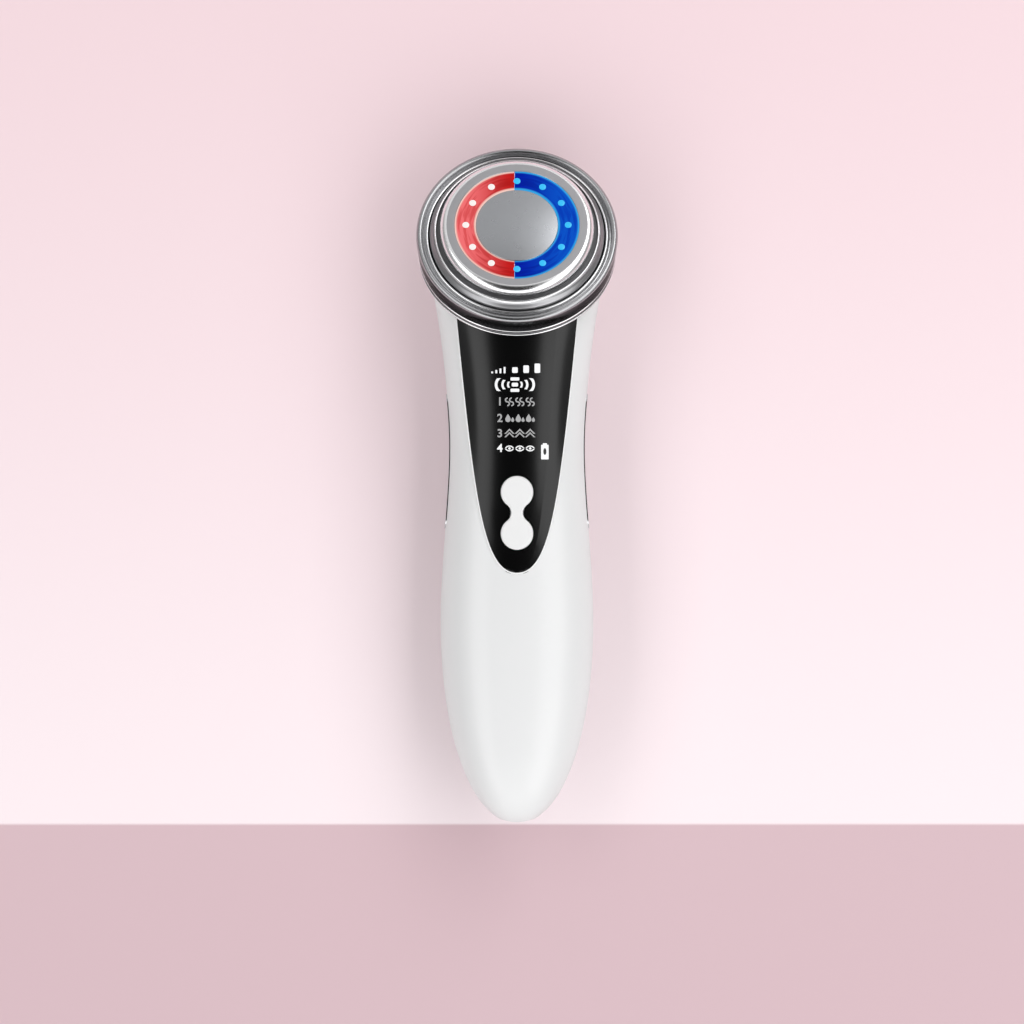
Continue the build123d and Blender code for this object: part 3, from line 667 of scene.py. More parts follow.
class ToningHead(bpy.types.PropertyGroup):
    """Sizes of the turned pieces, measured about the head's own axis."""

    glow_inner: length("Light ring bore", 11.05 * MM, "Radius where the light ring meets the centre disc")
    glow_outer: length("Light ring edge", 16.5 * MM, "Radius where the light ring meets the metal plate")
    glow_top: length("Light ring height", 13.1 * MM, "Height of the light ring's face")
    glow_split: signed_length("Split", -0.65 * MM, "Where the red half meets the blue half")
    face_height: length("Plate height", 13.25 * MM, "Height of the metal plate's flat face")
    plate_flat: length("Plate flat", 18.72 * MM, "Radius where the plate's flat meets its rolled rim")
    plate_roll: length("Plate roll", 1.75 * MM, "Radius that the plate's rim is rolled over")
    disc_rise: length("Disc rise", 0.6 * MM, "How far the centre disc is domed")
    lamp_circle: length("Lamp circle", 13.6 * MM, "Radius of the circle that the lamps stand on")
    lamp_radius: length("Lamp radius", 0.93 * MM, "Radius of each lamp's bright spot")
    ring_bore: length("Ring bore", 23.6 * MM, "Inner radius of the clamp ring")
    ring_bead: length("Ring bead", 0.325 * MM, "Radius of the bead inside the clamp ring")
    ring_shoulder: length("Ring shoulder", 0.9 * MM, "Radius that the clamp ring's outer edge is rolled over")
    trim_bore: length("Trim bore", 21.5 * MM, "Inner radius of the stepped trim")
    red_near: shade("Red by the split", (0.56, 0.012, 0.012), "The red half's colour next to the blue half")
    red_far: shade("Red at the side", (0.90, 0.17, 0.18), "The red half's colour at its far side")
    red_edge: shade("Red half's edge", (0.97, 0.66, 0.58), "The pale line along the red half's edges")
    blue_near: shade("Blue by the split", (0.0, 0.014, 0.40), "The blue half's colour next to the red half")
    blue_far: shade("Blue at the side", (0.002, 0.085, 0.58), "The blue half's colour at its far side")
    blue_edge: shade("Blue half's edge", (0.04, 0.42, 0.85), "The bright line along the blue half's edges")
    red_lamp: shade("Red half's lamps", (1.0, 0.93, 0.91), "Colour of the lamps in the red half")
    blue_lamp: shade("Blue half's lamps", (0.02, 0.56, 1.0), "Colour of the lamps in the blue half")


class ToningPanel(bpy.types.PropertyGroup):
    """The gloss panel's outline, one curve from its rounded end up to the head, and the key's opening."""

    bottom: signed_length("Bottom", -23.3 * MM, "Place of the rounded end along the handle")
    bottom_pull: length("Bottom pull", 9.1 * MM, "Half width that the curve makes for at the rounded end")
    side: signed_length("Side", -4.6 * MM, "Place that the curve makes for at the side")
    side_half: length("Side half width", 11.5 * MM, "Half width that the curve makes for at the side")
    top: signed_length("Top", 50.2 * MM, "Place of the wide end along the handle, hidden under the head")
    top_half: length("Top half width", 16.7 * MM, "Half width at the wide end")
    proud: length("Proud", 0.12 * MM, "How far the panel stands above the shell")
    thickness: length("Thickness", 0.3 * MM, "Thickness of the panel")
    bead_radius: length("Bead radius", 0.2 * MM, "Radius of the bright bead round the panel")
    key_y: signed_length("Key", -7.2 * MM, "Place of the key's middle along the handle")
    pad_spacing: length("Pad spacing", 11.0 * MM, "Distance between the middles of the key's pads")
    pad_radius: length("Opening radius", 4.63 * MM, "Radius of the opening round each pad")
    neck_half: length("Opening neck", 1.9 * MM, "Half width of the opening between the pads")


class ToningStudio(bpy.types.PropertyGroup):
    """The stage: camera, lamps and floor."""

    field: length("Field of view", 272.9 * MM, "Width of what the camera sees at the object")
    camera_height: length("Camera height", 3.0, "Height of the camera above the floor")
    aim_x: signed_length("Aim across", -1.33 * MM, "Where the camera points, across")
    aim_y: signed_length("Aim along", -6.98 * MM, "Where the camera points, along")
    # The floor's near and far colours paint a pool of light on it: pale by the tip, darker by the head.
    floor_near: shade("Floor, near", (0.98, 0.87, 0.90), "Colour of the floor by the handle's tip")
    floor_far: shade("Floor, far", (0.89, 0.69, 0.73), "Colour of the floor by the head")
    floor_front: shade("Floor, front", (0.69, 0.505, 0.545), "Colour of the floor's front strip")
    floor_edge: signed_length("Floor edge", -90.3 * MM, "Where the front strip starts")
    bounce_color: shade("Floor bounce", (0.62, 0.60, 0.60), "Colour of the light that the floor throws back")
    left_light: brightness("Left lamp", 1.6, "Radiance of the left soft box")
    right_light: brightness("Right lamp", 1.7, "Radiance of the right soft box")
    near_light: brightness("Near lamp", 0.6, "Radiance of the soft box past the tip")
    far_light: brightness("Far lamp", 1.6, "Radiance of the small box past the head")


# ------------------------------------------------------------------ operators
class TONING_OT_studio(bpy.types.Operator):
    """Adds the camera, the soft boxes, the sky and the floor"""

    bl_idname = "toning.studio"
    bl_label = "Studio"

    def execute(self, context):
        studio = context.scene.toning_studio
        self.add_camera(context, studio)
        left, right = studio.left_light, studio.right_light
        self.add_soft_box("left_soft_box", left, across=(-0.47, -1.0), heights=(1.0, 0.78), along=(-1.3, 0.9))
        self.add_soft_box("right_soft_box", right, across=(0.335, 1.0), heights=(1.0, 0.7), along=(-1.3, 1.9))
        self.add_round_about("near_soft_box", studio.near_light, turn=180, rise=40, size=(0.8, 0.8))
        self.add_round_about("far_soft_box", studio.far_light, turn=22, rise=31, size=(0.3, 0.45))
        self.add_floor(studio)
        self.add_sky()
        context.scene.view_settings.view_transform = "Standard"
        return {"FINISHED"}

    def add_camera(self, context, studio):
        """A long lens looking straight down on the front, as wide as the field asks."""
        clear_selection()
        middle = (CAD_BOX[0].z + CAD_BOX[1].z) / 2
        above = (studio.aim_x, studio.aim_y, studio.camera_height)
        bpy.ops.object.camera_add(location=above, rotation=(0, 0, 0))
        camera = context.object
        camera.name = "camera"
        camera.data.sensor_width = 36.0
        camera.data.lens = camera.data.sensor_width * (studio.camera_height - middle) / studio.field
        camera.data.clip_start = 0.1
        camera.data.clip_end = 50.0
        context.scene.camera = camera

    def add_lamp(self, name, radiance, location, turn, size):
        """A flat lamp of this size and radiance that the camera doesn't see."""
        bpy.ops.object.light_add(type="AREA", location=location)
        lamp = bpy.context.object
        lamp.name = name
        lamp.rotation_euler = turn.to_euler()
        lamp.data.shape = "RECTANGLE"
        lamp.data.size, lamp.data.size_y = size
        lamp.data.energy = radiance * math.pi * size[0] * size[1]
        lamp.visible_camera = False

    def add_soft_box(self, name, radiance, across, heights, along):
        """A lamp from one place across to another, each with its height, that faces the object."""
        start = Vector((across[0], 0, heights[0]))
        end = Vector((across[1], 0, heights[1]))
        middle = (start + end) / 2 + Vector((0, (along[0] + along[1]) / 2, 0))
        slope = (end - start).normalized()
        facing = Vector((0, 1, 0)).cross(slope)
        if facing.dot(-middle) < 0:
            facing = -facing
        turn = Matrix((slope, (-facing).cross(slope), -facing)).transposed()
        self.add_lamp(name, radiance, middle, turn, size=((end - start).length, along[1] - along[0]))

    def add_round_about(self, name, radiance, turn, rise, size):
        """A lamp that faces the object from a turn to the right of +Y and a rise, both in degrees."""
        distance = 1.2
        turn, rise = math.radians(turn), math.radians(rise)
        away = Vector((math.sin(turn) * math.cos(rise), math.cos(turn) * math.cos(rise), math.sin(rise)))
        self.add_lamp(name, radiance, distance * away, away.to_track_quat("Z", "Y"), size)

    def add_floor(self, studio):
        """A floor just under the object, wide enough to fill every view, its colour palest at one place and
        darker away from it as a painted pool of light.
        """
        clear_selection()
        bpy.ops.mesh.primitive_plane_add(size=12.0, location=(0, 0, CAD_BOX[0].z - 0.02 * MM))
        floor = bpy.context.object
        floor.name = "floor"
        paint = Paint("floor_paint", roughness=0.85, specular_ior_level=0.0)
        _, y, _ = paint.parts(paint.position())
        palest, fade = -0.15, 0.32          # the palest place along the floor, and the way to its far colour
        # Painted pool of light: the floor's colour is palest at one place past the tip and darker with
        # distance from it.
        off_palest = (y + paint.noise(9) * 0.01 - palest).size()
        pale = paint.mix(paint.step(off_palest, 0.0, fade), studio.floor_near, studio.floor_far)
        past_edge = paint.step(y, studio.floor_edge, studio.floor_edge - 1 * MM)
        seen = paint.mix(past_edge, pale, studio.floor_front)
        rays = [paint.node("ShaderNodeLightPath", output=ray) for ray in FLOOR_RAYS]
        paint.feed("Base Color", paint.mix(rays[0] + rays[1] + rays[2], studio.bounce_color, seen))
        floor.data.materials.append(paint.material)

    def add_sky(self):
        """A sky dark overhead and dim to the sides, pale past the head and palest past the tip."""
        sky = Sky("studio_sky")
        x, y, z = sky.parts(sky.node("ShaderNodeTexCoord", output="Generated"))
        overhead = 0.004
        # Each part of the direction goes from -1 to 1.
        horizon = sky.step(z, 0.55, 0.92, low=1.0, high=0.0)
        past_tip = sky.step(y, -0.1, -0.5, low=0.75, high=1.15)
        sideways = sky.step(x.size(), 0.35, 0.75, low=1.0, high=0.45)
        sky.feed("Strength", horizon * past_tip * sideways + overhead)
        sky.feed("Color", (1.0, 1.0, 1.0))


class TONING_OT_handle(bpy.types.Operator):
    """Gives both shells, the finger strips and the key their finishes"""

    bl_idname = "toning.handle"
    bl_label = "Handle"

    def execute(self, context):
        white = moulded_white()
        for node in ("front_shell", "rear_shell"):
            paint_node(node, white)
        strip = plain_metal("strip_chrome", (0.78, 0.78, 0.80), 0.12)
        for node in ("side_electrode_left", "side_electrode_right"):
            paint_node(node, strip)
        paint_node("rocker_key", key_white())
        return {"FINISHED"}


class TONING_OT_panel(bpy.types.Operator):
    """Lays the gloss panel over the front, opens it for the key and beads its edge"""

    bl_idname = "toning.panel"
    bl_label = "Panel"

    def execute(self, context):
        panel = context.scene.toning_panel
        sheet = self.add_sheet(panel)
        bead = self.add_bead(sheet, panel)
        modify(sheet, "SOLIDIFY", thickness=panel.thickness, offset=-1)
        self.open_for_key(sheet, panel)
        black = piano_black()
        done(sheet, "front_panel", "device", [black], 40)
        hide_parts("display_panel")
        paint_node("display_panel", black)
        # The bead's whiter colour than the shell's is a painted highlight.
        done(bead, "panel_bead", "device", [rim_white()], 60)
        return {"FINISHED"}

    def outline(self, panel, share):
        """Half width and place along the handle of a point on the panel's one curve, from its rounded end."""
        pulls = (panel.bottom_pull, panel.side_half, panel.top_half)
        places = (panel.bottom, panel.bottom, panel.side, panel.top)
        rest = 1 - share
        weights = (rest**3, 3 * rest**2 * share, 3 * rest * share**2, share**3)
        half = sum(weight * pull for weight, pull in zip(weights[1:], pulls))
        return max(half, PANEL_TIP_HALF), sum(weight * place for weight, place in zip(weights, places))

    def add_sheet(self, panel):
        """A sheet of that outline, extruded row by row from its wide end, laid on the front and smoothed."""
        clear_selection()
        half, y = self.outline(panel, 1.0)
        bpy.ops.mesh.primitive_grid_add(x_subdivisions=PANEL_COLUMNS, y_subdivisions=1, size=2 * half)
        sheet = bpy.context.object
        begin(sheet)
        bpy.ops.transform.resize(value=(1, 0, 1), center_override=(0, 0, 0))
        bpy.ops.mesh.remove_doubles(threshold=MERGE_DISTANCE)
        bpy.ops.transform.translate(value=(0, y, LIFT))
        for row in range(PANEL_ROWS):
            next_half, next_y = self.outline(panel, 1 - (row + 1) / PANEL_ROWS)
            bpy.ops.mesh.extrude_edges_move(TRANSFORM_OT_translate={"value": (0, next_y - y, 0)})
            bpy.ops.transform.resize(value=(next_half / half, 1, 1), center_override=(0, next_y, LIFT))
            half, y = next_half, next_y
        bpy.ops.object.mode_set(mode="OBJECT")
        shell = frame["nodes"]["front_shell"]
        drop_onto(sheet, frame["nodes"]["display_panel"], panel.proud, auxiliary_target=shell)
        self.catch_missed(sheet)
        self.crown_over_key(sheet, panel)
        modify(sheet, "SUBSURF", levels=3, render_levels=3, boundary_smooth="PRESERVE_CORNERS")
        begin(sheet)
        cut = HEAD_ORIGIN + HEAD_AXIS * UNDER_RING
        bpy.ops.mesh.bisect(plane_co=cut, plane_no=HEAD_AXIS, clear_outer=True)
        bpy.ops.mesh.select_all(action="SELECT")
        bpy.ops.mesh.normals_make_consistent(inside=False)
        bpy.ops.object.mode_set(mode="OBJECT")
        if sheet.data.polygons[0].normal.z < 0:
            begin(sheet)
            bpy.ops.mesh.flip_normals()
            bpy.ops.object.mode_set(mode="OBJECT")
        return sheet

    def catch_missed(self, sheet):
        """Brings points that found nothing under them down to the height of the row before."""
        same_row = 0.1 * MM
        points = sorted(sheet.data.vertices, key=lambda vertex: vertex.co.y)
        found = [vertex for vertex in points if vertex.co.z < LIFT - 1 * MM]
        for vertex in points:
            if vertex not in found:
                before = [other for other in found if other.co.y < vertex.co.y - same_row]
                row = [other for other in before if other.co.y > before[-1].co.y - same_row]
                vertex.co.z = min(row, key=lambda other: abs(other.co.x - vertex.co.x)).co.z

    def crown_over_key(self, sheet, panel):
        """Carries the front's crown on over the key, where the sheet has fallen into the key's opening."""
        rows = {}
        for vertex in sheet.data.vertices:
            rows.setdefault(round(vertex.co.y / MM, 2), []).append(vertex)
        reach = panel.pad_spacing / 2 + panel.pad_radius + 0.2 * MM
        clear = panel.pad_radius + 0.5 * MM

        def edge(row):
            """The first point beside the opening, and the row's middle."""
            beside = min((v for v in row if abs(v.co.x) > clear), key=lambda v: abs(v.co.x))
            return beside.co, min(row, key=lambda v: abs(v.co.x)).co

        def bend(row):
            """How much the front falls from the middle to the side, over the distance squared."""
            side, middle = edge(row)
            return (middle.z - side.z) / side.x**2

        above = min(y for y in rows if y * MM > panel.key_y + reach)
        below = max(y for y in rows if y * MM < panel.key_y - reach)
        for y, row in rows.items():
            if not below < y < above:
                continue
            share = (y - below) / (above - below)
            curve = bend(rows[below]) * (1 - share) + bend(rows[above]) * share
            side, _ = edge(row)
            for vertex in row:
                if abs(vertex.co.x) < abs(side.x) - MERGE_DISTANCE:
                    vertex.co.z = side.z + curve * (side.x**2 - vertex.co.x**2)

    def add_bead(self, sheet, panel):
        """A fine bright bead of the shell round the sheet's edge, up to where the ring hides it."""
        begin(sheet)
        bpy.ops.mesh.select_all(action="DESELECT")
        bpy.ops.mesh.select_mode(type="EDGE")
        bpy.ops.mesh.select_non_manifold()
        bpy.ops.object.mode_set(mode="OBJECT")
        for edge in sheet.data.edges:
            if edge.select:
                ends = [sheet.data.vertices[index].co for index in edge.vertices]
                rises = [HEAD_AXIS.dot(end - HEAD_ORIGIN) for end in ends]
                edge.select = min(rises) <= UNDER_RING - 0.1 * MM
        bpy.ops.object.mode_set(mode="EDIT")
        bpy.ops.mesh.duplicate()
        bpy.ops.mesh.separate(type="SELECTED")
        bpy.ops.object.mode_set(mode="OBJECT")
        pick(next(piece for piece in bpy.context.selected_objects if piece != sheet))
        bpy.ops.object.convert(target="CURVE")
        bead = bpy.context.object
        bead.data.bevel_depth = panel.bead_radius
        bead.data.bevel_resolution = 3
        bead.data.use_fill_caps = True
        bpy.ops.object.convert(target="MESH")
        return bpy.context.object

    def open_for_key(self, sheet, panel):
        """Cuts the key's dumbbell opening through the sheet: two rounds, and a neck with hollow sides."""
        half, pad, neck = panel.pad_spacing / 2, panel.pad_radius, panel.neck_half
        waist = (half**2 + neck**2 - pad**2) / (2 * (pad - neck))
        touch_x = pad * (neck + waist) / (pad + waist)
        touch_y = half * waist / (pad + waist)
        cutters = [self.add_cutter(0, panel.key_y + side * half, pad, 2 * LIFT) for side in (-1, 1)]
        clear_selection()
        bpy.ops.mesh.primitive_cube_add(size=1, location=(0, panel.key_y, LIFT))
        neck_block = bpy.context.object
        stretch(neck_block, 2 * touch_x, 2 * touch_y, 2 * LIFT)
        for side in (-1, 1):
            round_cutter = self.add_cutter(side * (neck + waist), panel.key_y, waist, 3 * LIFT)
            self.cut(neck_block, round_cutter)
        for cutter in [*cutters, neck_block]:
            self.cut(sheet, cutter)

    def add_cutter(self, x, y, radius, depth):
        """An upright round cutter."""
        clear_selection()
        middle = (x, y, LIFT)
        bpy.ops.mesh.primitive_cylinder_add(vertices=96, radius=radius, depth=depth, location=middle)
        return bpy.context.object

    def cut(self, piece, cutter):
        """Takes the cutter's shape out of a piece."""
        modify(piece, "BOOLEAN", operation="DIFFERENCE", object=cutter)
        bpy.data.objects.remove(cutter)


class TONING_OT_icons(bpy.types.Operator):
    """Prints the lit symbols on the panel: level bars, waves, four numbered rows and a battery"""

    bl_idname = "toning.icons"
    bl_label = "Icons"

    def execute(self, context):
        lit = icon_white()
        dim = icon_grey()
        bars = growing_bars(3, x=-0.55, y=30.7, spacing=2.98, width=1.5, height=1.5, growth=0.5, corner=0.3)
        lay_on_panel(bars, "level_bars", lit)
        ticks = growing_bars(4, x=-6.6, y=30.1, spacing=1.1, width=0.5, height=0.5, growth=0.4, corner=0.12)
        lay_on_panel(ticks, "level_ticks", lit)
        lay_on_panel(self.waves(-0.56, 26.85), "wave_symbol", lit)
        rows = {1: self.heat, 2: self.drops, 3: self.chevrons, 4: self.eyes}
        for (number, symbols), y in zip(rows.items(), ROW_PLACES):
            marks = [mark_digit(-4.55, y, number, height=2.2)]
            for x in SYMBOL_PLACES:
                marks += symbols(x, y)
            lay_on_panel(marks, "row_%d_marks" % number, lit if number == 4 else dim)
        self.add_battery(7.4, 8.95, lit)
        return {"FINISHED"}

    def waves(self, x, y):
        """Three dashes with three brackets to each side, that grow outwards."""
        dashes = [(1.5, 2.35, 0.85, 0.25), (0, 1.7, 1.0, 0.3), (-1.5, 2.35, 0.85, 0.25)]
        marks = [mark_bar(x, y + shift, width, height, corner) for shift, width, height, corner in dashes]
        brackets = [(1.85, 1.3, 0.5, 0.8), (3.3, 1.8, 0.6, 1.2), (5.0, 2.3, 0.7, 1.7)]
        for side in (-1, 1):
            for reach, radius, stroke, half_height in brackets:
                marks.append(mark_arc(x + side * reach, y, radius, stroke, half_height, side))
        return marks

    def heat(self, x, y):
        """Two rising curls of warm air."""
        radius, stroke = 0.5, 0.34
        marks = []
        for shift in (-0.55, 0.55):
            for rise, cleared in ((radius, 1), (-radius, -1)):
                marks.append(mark_ring(x + shift, y + rise, radius, stroke, [((0, 0), (cleared, 0))]))
        return marks

    def drops(self, x, y):
        """A drop with a smaller one beside it."""
        return [mark_drop(x - 0.4, y - 0.25, radius=0.72), mark_drop(x + 0.85, y - 0.5, radius=0.42)]

    def chevrons(self, x, y):
        """Two chevrons that point up, each the upper half of a square ring."""
        upper = [((0, 0), (0, -1))]
        return [mark_ring(x, y + rise, 1.15, 0.48, upper, sides=4) for rise in (-0.95, -0.05)]

    def eyes(self, x, y):
        """An open eye: two lids and a pupil."""
        lid, stroke, lift, corner = 1.25, 0.3, 0.62, 0.66
        marks = []
        for side in (1, -1):
            marks.append(mark_ring(x, y - side * lift, lid, stroke, [((0, side * corner), (0, -side))]))
        return [*marks, mark_dot(x, y, radius=0.33)]

    def add_battery(self, x, y, finish):
        """A battery with its cap, and a dark diamond on it."""
        body = mark_bar(x, y, 2.0, 3.9, corner=0.2)
        cap = mark_bar(x, y + 2.1, 1.1, 0.5, corner=0.12)
        lay_on_panel([body, cap], "battery_symbol", finish)
        diamond = mark_dot(x, y + 0.15, radius=0.75)
        diamond.scale = (0.55, 1.2, 1)
        lay_on_panel([diamond], "battery_diamond", piano_black(), lift=0.07 * MM)


class TONING_OT_clamp_ring(bpy.types.Operator):
    """Turns the loose outer ring: a polished bead inside painted bright as a highlight, a flank painted dark
    as shade, and two fine beads at its foot painted bright too
    """

    bl_idname = "toning.clamp_ring"
    bl_label = "Clamp ring"

    def execute(self, context):
        head = context.scene.toning_head
        bore, bead, shoulder = head.ring_bore / MM, head.ring_bead / MM, head.ring_shoulder / MM
        step, lip = 3.1, 7.75                       # heights of the step inside and of the bead's middle
        upper_bead, lower_bead = 1.95, 0.15         # heights of the foot beads
        foot, recess = -1.0, 24.6                   # height of the foot, and radius of the recess in it
        outer = RING_RADIUS
        profile = [(bore, step), (bore, lip)]
        profile += arc((bore + bead, lip), bead, 180, 0, 10)
        profile += [(24.35, 7.4), (24.6, 7.2), (24.95, 7.2), (25.2, 7.5)]
        profile += arc((outer - shoulder, 7.7), shoulder, 140, 0, 14)
        profile += [(26.4, 2.45), (26.22, 2.28)]
        profile += arc((26.2, upper_bead), 0.27, 70, -70, 8)
        profile += [(26.12, 1.5), (26.08, 1.0), (26.12, 0.55)]
        profile += arc((26.15, lower_bead), 0.33, 75, -75, 8)
        profile += [(26.1, -0.4), (26.0, foot), (25.2, foot)]
        profile += [(recess, 1.0), (recess, step), (bore, step)]
        ring = onto_head(lathe(profile))
        # One turned metal in three colours: bright for painted highlights, grey and dark for painted shade;
        # the dark copy's low edge tint also keeps it dark at grazing angles.
        bright = turned_metal("ring_painted_highlight", (0.88, 0.88, 0.89), 0.16, 0.001 * MM)
        dark = turned_metal("ring_painted_shade", (0.17, 0.17, 0.175), 0.20, 0.0006 * MM, edge=0.25)
        grey = turned_metal("ring_painted_half_shade", (0.40, 0.40, 0.41), 0.26, 0.0006 * MM)

        def polished(radius, height):
            """The beads get the bright colour of painted highlights, the lip and its valley a grey of painted
            half-shade, and the rest the dark colour of painted shade.
            """
            inner_bead = radius < bore + 0.7
            foot_bead = -0.2 < height < 0.45 or 1.72 < height < 2.2
            if inner_bead or foot_bead and radius > 26.3:
                return 0
            return 2 if height > 6.8 else 1

        finish_faces(ring, polished)
        done(ring, "clamp_ring_turned", "clamp_ring", [bright, dark, grey], 50)
        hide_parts("pad_clamp_ring")
        paint_node("pad_clamp_ring", dark)
        return {"FINISHED"}


class TONING_OT_trim(bpy.types.Operator):
    """Turns the stepped trim and gives the dark ring and the rubber band beside it their finishes"""

    bl_idname = "toning.trim"
    bl_label = "Trim"

    def execute(self, context):
        bore = context.scene.toning_head.trim_bore / MM
        foot, crest, bead, rim = 3.0, 9.95, 0.25, 23.2
        profile = [(bore, foot), (bore, crest)]
        profile += arc((bore + bead, crest), bead, 180, 20, 8)
        profile += [(22.1, 9.55), (22.5, 9.1), (23.05, 8.62)]
        profile += [(rim, 8.4), (rim, foot), (bore, foot)]
        trim = onto_head(lathe(profile))
        # One turned metal in two colours: the bead at the bore bright as a painted highlight, the rest grey
        # as painted shade.
        bright = turned_metal("trim_painted_highlight", (0.86, 0.86, 0.87), 0.16, 0.001 * MM)
        grey = turned_metal("trim_painted_shade", (0.36, 0.36, 0.37), 0.3, 0.001 * MM)
        finish_faces(trim, lambda radius, height: 0 if radius < bore + 0.55 and height > 9.6 else 1)
        done(trim, "head_trim_turned", "device", [bright, grey], 50)
        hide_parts("head_trim")
        paint_node("head_trim", grey)
        paint_node("insulating_ring", matt("ring_black", (0.10, 0.10, 0.105), 0.35))
        paint_node("ring_seal", matt("seal_rubber", (0.02, 0.02, 0.02), 0.75))
        return {"FINISHED"}


class TONING_OT_plate(bpy.types.Operator):
    """Turns the metal plate with its bright rolled rim and the centre disc"""

    bl_idname = "toning.plate"
    bl_label = "Face plate"

    def execute(self, context):
        head = context.scene.toning_head
        self.add_plate(head)
        self.add_disc(head)
        return {"FINISHED"}

    def add_plate(self, head):
        """The ring that touches the skin: flat and satin, then rolled over and polished, the roll in a much
        brighter colour of the same metal as a painted highlight.
        """
        flat, roll, top = head.plate_flat / MM, head.plate_roll / MM, head.face_height / MM
        bore = head.glow_outer / MM + 0.06
        thickness, wall, foot, chamfer = 1.2, 1.0, 3.0, 0.12
        profile = [(bore, top - thickness), (bore, top - chamfer), (bore + chamfer, top)]
        profile += arc((flat, top - roll), roll, 90, 20, 16)
        profile += [(PLATE_RADIUS, top - 1.5), (PLATE_RADIUS, foot)]
        profile += [(PLATE_RADIUS - wall, foot), (PLATE_RADIUS - wall, top - thickness), profile[0]]
        plate = onto_head(lathe(profile))
        # One metal in two colours: the rolled rim much brighter than the satin flat, as a painted highlight.
        satin = satin_metal("plate_satin", (0.40, 0.40, 0.415), 0.36)
        bright = turned_metal("plate_painted_highlight", (0.92, 0.92, 0.93), 0.22, 0.0006 * MM)
        finish_faces(plate, lambda radius, height: 0 if radius < flat and height > top - 0.3 else 1)
        done(plate, "face_plate_turned", "device", [satin, bright], 40)
        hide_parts("face_electrode")
        paint_node("face_electrode", bright)

    def add_disc(self, head):
        """The centre disc, slightly domed, on its stem."""
        edge = head.glow_inner / MM - 0.08
        rim = head.face_height / MM - 0.3
        rise = head.disc_rise / MM
        stem, foot, underside, chamfer, rings = 6.5, 7.6, 11.25, 0.15, 24
        profile = [(0.01, foot), (stem, foot), (stem, underside), (edge, underside), (edge, rim - chamfer)]
        for step in range(rings):
            share = 1 - step / rings
            profile.append(((edge - chamfer) * share, rim + rise * (1 - share**2)))
        disc = onto_head(lathe(profile, closed=False))
        satin = satin_metal("disc_satin", (0.40, 0.41, 0.43), 0.28)
        done(disc, "centre_disc_turned", "device", [satin], 30)
        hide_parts("centre_electrode")
        paint_node("centre_electrode", satin)


class TONING_OT_light_ring(bpy.types.Operator):
    """Turns the red and blue halves of the light ring and sets the lamps in them"""

    bl_idname = "toning.light_ring"
    bl_label = "Light ring"

    def execute(self, context):
        head = context.scene.toning_head
        red = light_guide("glow_red", head.red_near, head.red_far, head.red_edge)
        blue = light_guide("glow_blue", head.blue_near, head.blue_far, head.blue_edge)
        self.add_half(head, -1, "light_ring_red", red, "glow_red", "light_guide_red")
        self.add_half(head, 1, "light_ring_blue", blue, "glow_blue", "light_guide_blue")
        white = lamp_glow("lamp_white", head.red_lamp)
        cyan = lamp_glow("lamp_cyan", head.blue_lamp)
        self.add_spots(head, "red_lamp_spots", RED_LAMPS, white)
        self.add_spots(head, "blue_lamp_spots", BLUE_LAMPS, cyan)
        paint_node("red_lamps", white)
        paint_node("blue_lamps", cyan)
        return {"FINISHED"}

    def add_half(self, head, side, name, finish, slot, node):
        """Half a turned ring with a flange to each side and a channel over the lamps, cut along the split."""
        inner, outer, top = head.glow_inner / MM, head.glow_outer / MM, head.glow_top / MM
        bevel, gap = 0.28, 0.05 * MM
        foot, inner_ledge, outer_ledge = 9.1, 11.15, 11.95
        inner_flange, outer_flange = 9.5, 19.3
        channel_inner, channel_outer, channel_top = 12.0, 15.3, 10.3
        profile = [(inner_flange, foot)]
        profile += [(channel_inner, foot), (channel_inner, channel_top)]
        profile += [(channel_outer, channel_top), (channel_outer, foot)]
        profile += [(outer_flange, foot), (outer_flange, outer_ledge), (outer, outer_ledge)]
        profile += [(outer, top - bevel), (outer - bevel, top), (inner + bevel, top), (inner, top - bevel)]
        profile += [(inner, inner_ledge), (inner_flange, inner_ledge), (inner_flange, foot)]
        half = lathe(profile)
        begin(half)
        cut = (head.glow_split + side * gap, 0, 0)
        bpy.ops.mesh.bisect(plane_co=cut, plane_no=(-side, 0, 0), use_fill=True, clear_outer=True)
        bpy.ops.object.mode_set(mode="OBJECT")
        done(onto_head(half), name, "device", [finish], 30)
        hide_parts(node)
        paint_node(node, finish)

    def add_spots(self, head, name, numbers, finish):
        """Low domes of light, evenly spaced round the ring."""
        flatness = 0.12
        spots = []
        for number in numbers:
            turn = math.radians(LAMP_STEP * number)
            seat = (head.lamp_circle * math.cos(turn), head.lamp_circle * math.sin(turn), head.glow_top)
            clear_selection()
            shape = {"segments": 24, "ring_count": 12, "radius": head.lamp_radius}
            bpy.ops.mesh.primitive_uv_sphere_add(location=seat, **shape)
            spot = bpy.context.object
            spot.scale = (1, 1, flatness)
            spots.append(spot)
        done(onto_head(gather(spots)), name, "device", [finish], 60)


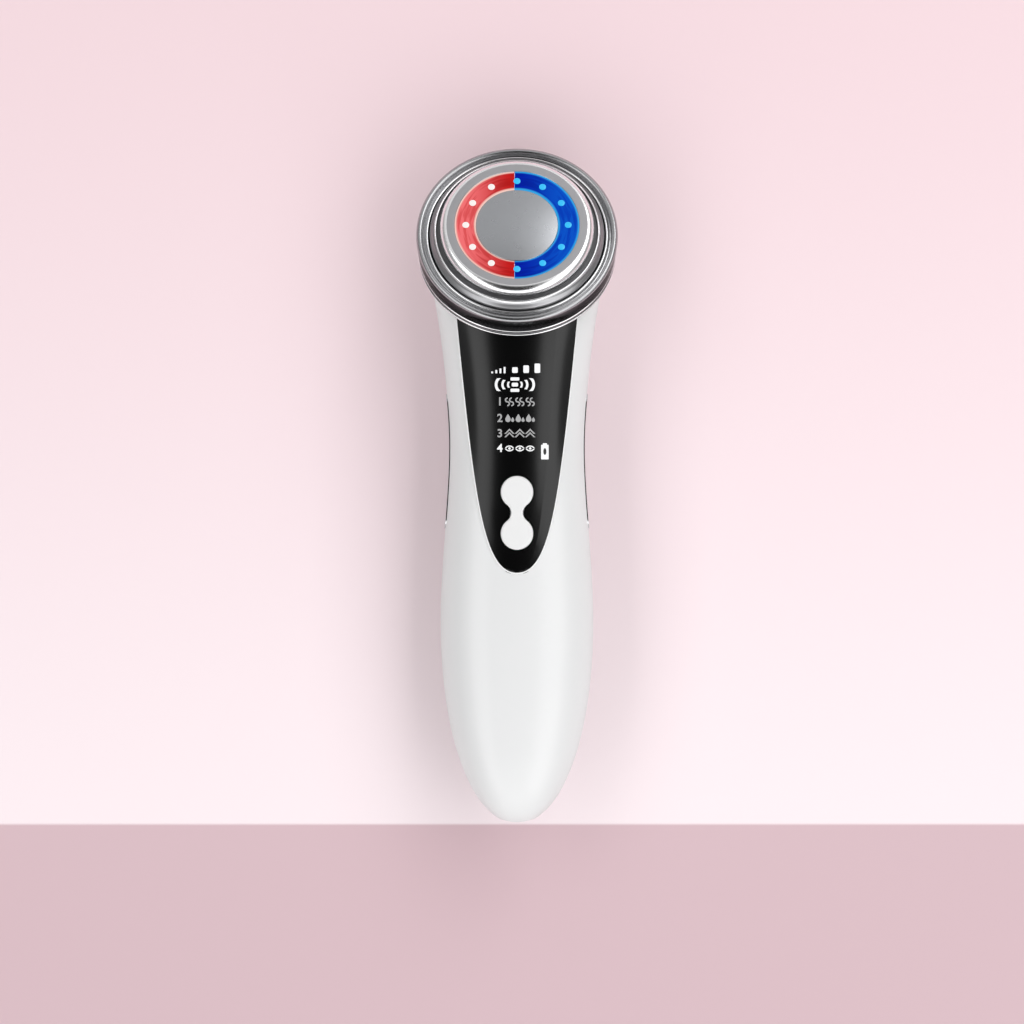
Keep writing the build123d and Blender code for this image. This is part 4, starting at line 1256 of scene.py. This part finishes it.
class TONING_OT_inner_parts(bpy.types.Operator):
    """Gives the pieces inside their finishes"""

    bl_idname = "toning.inner_parts"
    bl_label = "Inner parts"

    def execute(self, context):
        steel = plain_metal("plain_steel", (0.55, 0.55, 0.56), 0.3)
        gold = plain_metal("gold_plate", (0.83, 0.60, 0.25), 0.25)
        black = matt("black_moulding", (0.02, 0.02, 0.021), 0.5)
        grey = matt("grey_moulding", (0.55, 0.55, 0.56), 0.5)
        green = circuit_board("green_board", (0.008, 0.10, 0.035), (0.70, 0.55, 0.30))
        white = circuit_board("white_board", (0.70, 0.70, 0.68), (0.62, 0.62, 0.60))
        lamp = matt("lamp_package", (0.80, 0.76, 0.55), 0.3)
        screws = ("board_screws", "charge_screws", "head_screws")
        finishes = {
            steel: ("key_bracket", "key_pin", "charge_socket", "motor_can", "motor_rotor", *screws),
            gold: ("contact_springs",),
            black: ("switch_cases", "lower_plunger", "upper_plunger", "light_mask"),
            grey: ("head_carrier",),
            green: ("main_board", "charge_board"),
            white: ("led_board",),
            lamp: ("icon_lights",),
            matt("boot_rubber", (0.03, 0.03, 0.032), 0.8): ("motor_boot",),
            cell_wrap(): ("battery_cell",),
            heater_film(): ("heater_pad",),
        }
        for finish, nodes in finishes.items():
            for node in nodes:
                paint_node(node, finish)
        return {"FINISHED"}


OPERATORS = (
    TONING_OT_studio,
    TONING_OT_handle,
    TONING_OT_panel,
    TONING_OT_icons,
    TONING_OT_clamp_ring,
    TONING_OT_trim,
    TONING_OT_plate,
    TONING_OT_light_ring,
    TONING_OT_inner_parts,
)


class TONING_PT_build(bpy.types.Panel):
    """Lists the pieces of the device in the order they are made"""

    bl_idname = "TONING_PT_build"
    bl_label = "Toning device"
    bl_space_type = "VIEW_3D"
    bl_region_type = "UI"
    bl_category = "Toning device"

    def draw(self, context):
        for operator in OPERATORS:
            self.layout.operator(operator.bl_idname)
        for group in (context.scene.toning_head, context.scene.toning_panel, context.scene.toning_studio):
            box = self.layout.box()
            for name in group.__annotations__:
                box.prop(group, name)


CLASSES = (ToningHead, ToningPanel, ToningStudio, *OPERATORS, TONING_PT_build)


def register():
    for entry in CLASSES:
        bpy.utils.register_class(entry)
    bpy.types.Scene.toning_head = PointerProperty(type=ToningHead)
    bpy.types.Scene.toning_panel = PointerProperty(type=ToningPanel)
    bpy.types.Scene.toning_studio = PointerProperty(type=ToningStudio)


def unregister():
    del bpy.types.Scene.toning_studio
    del bpy.types.Scene.toning_panel
    del bpy.types.Scene.toning_head
    for entry in reversed(CLASSES):
        bpy.utils.unregister_class(entry)


def main():
    register()
    bpy.ops.toning.studio()
    bpy.ops.toning.handle()
    bpy.ops.toning.panel()
    bpy.ops.toning.icons()
    bpy.ops.toning.clamp_ring()
    bpy.ops.toning.trim()
    bpy.ops.toning.plate()
    bpy.ops.toning.light_ring()
    bpy.ops.toning.inner_parts()


if __name__ == "__main__":
    main()
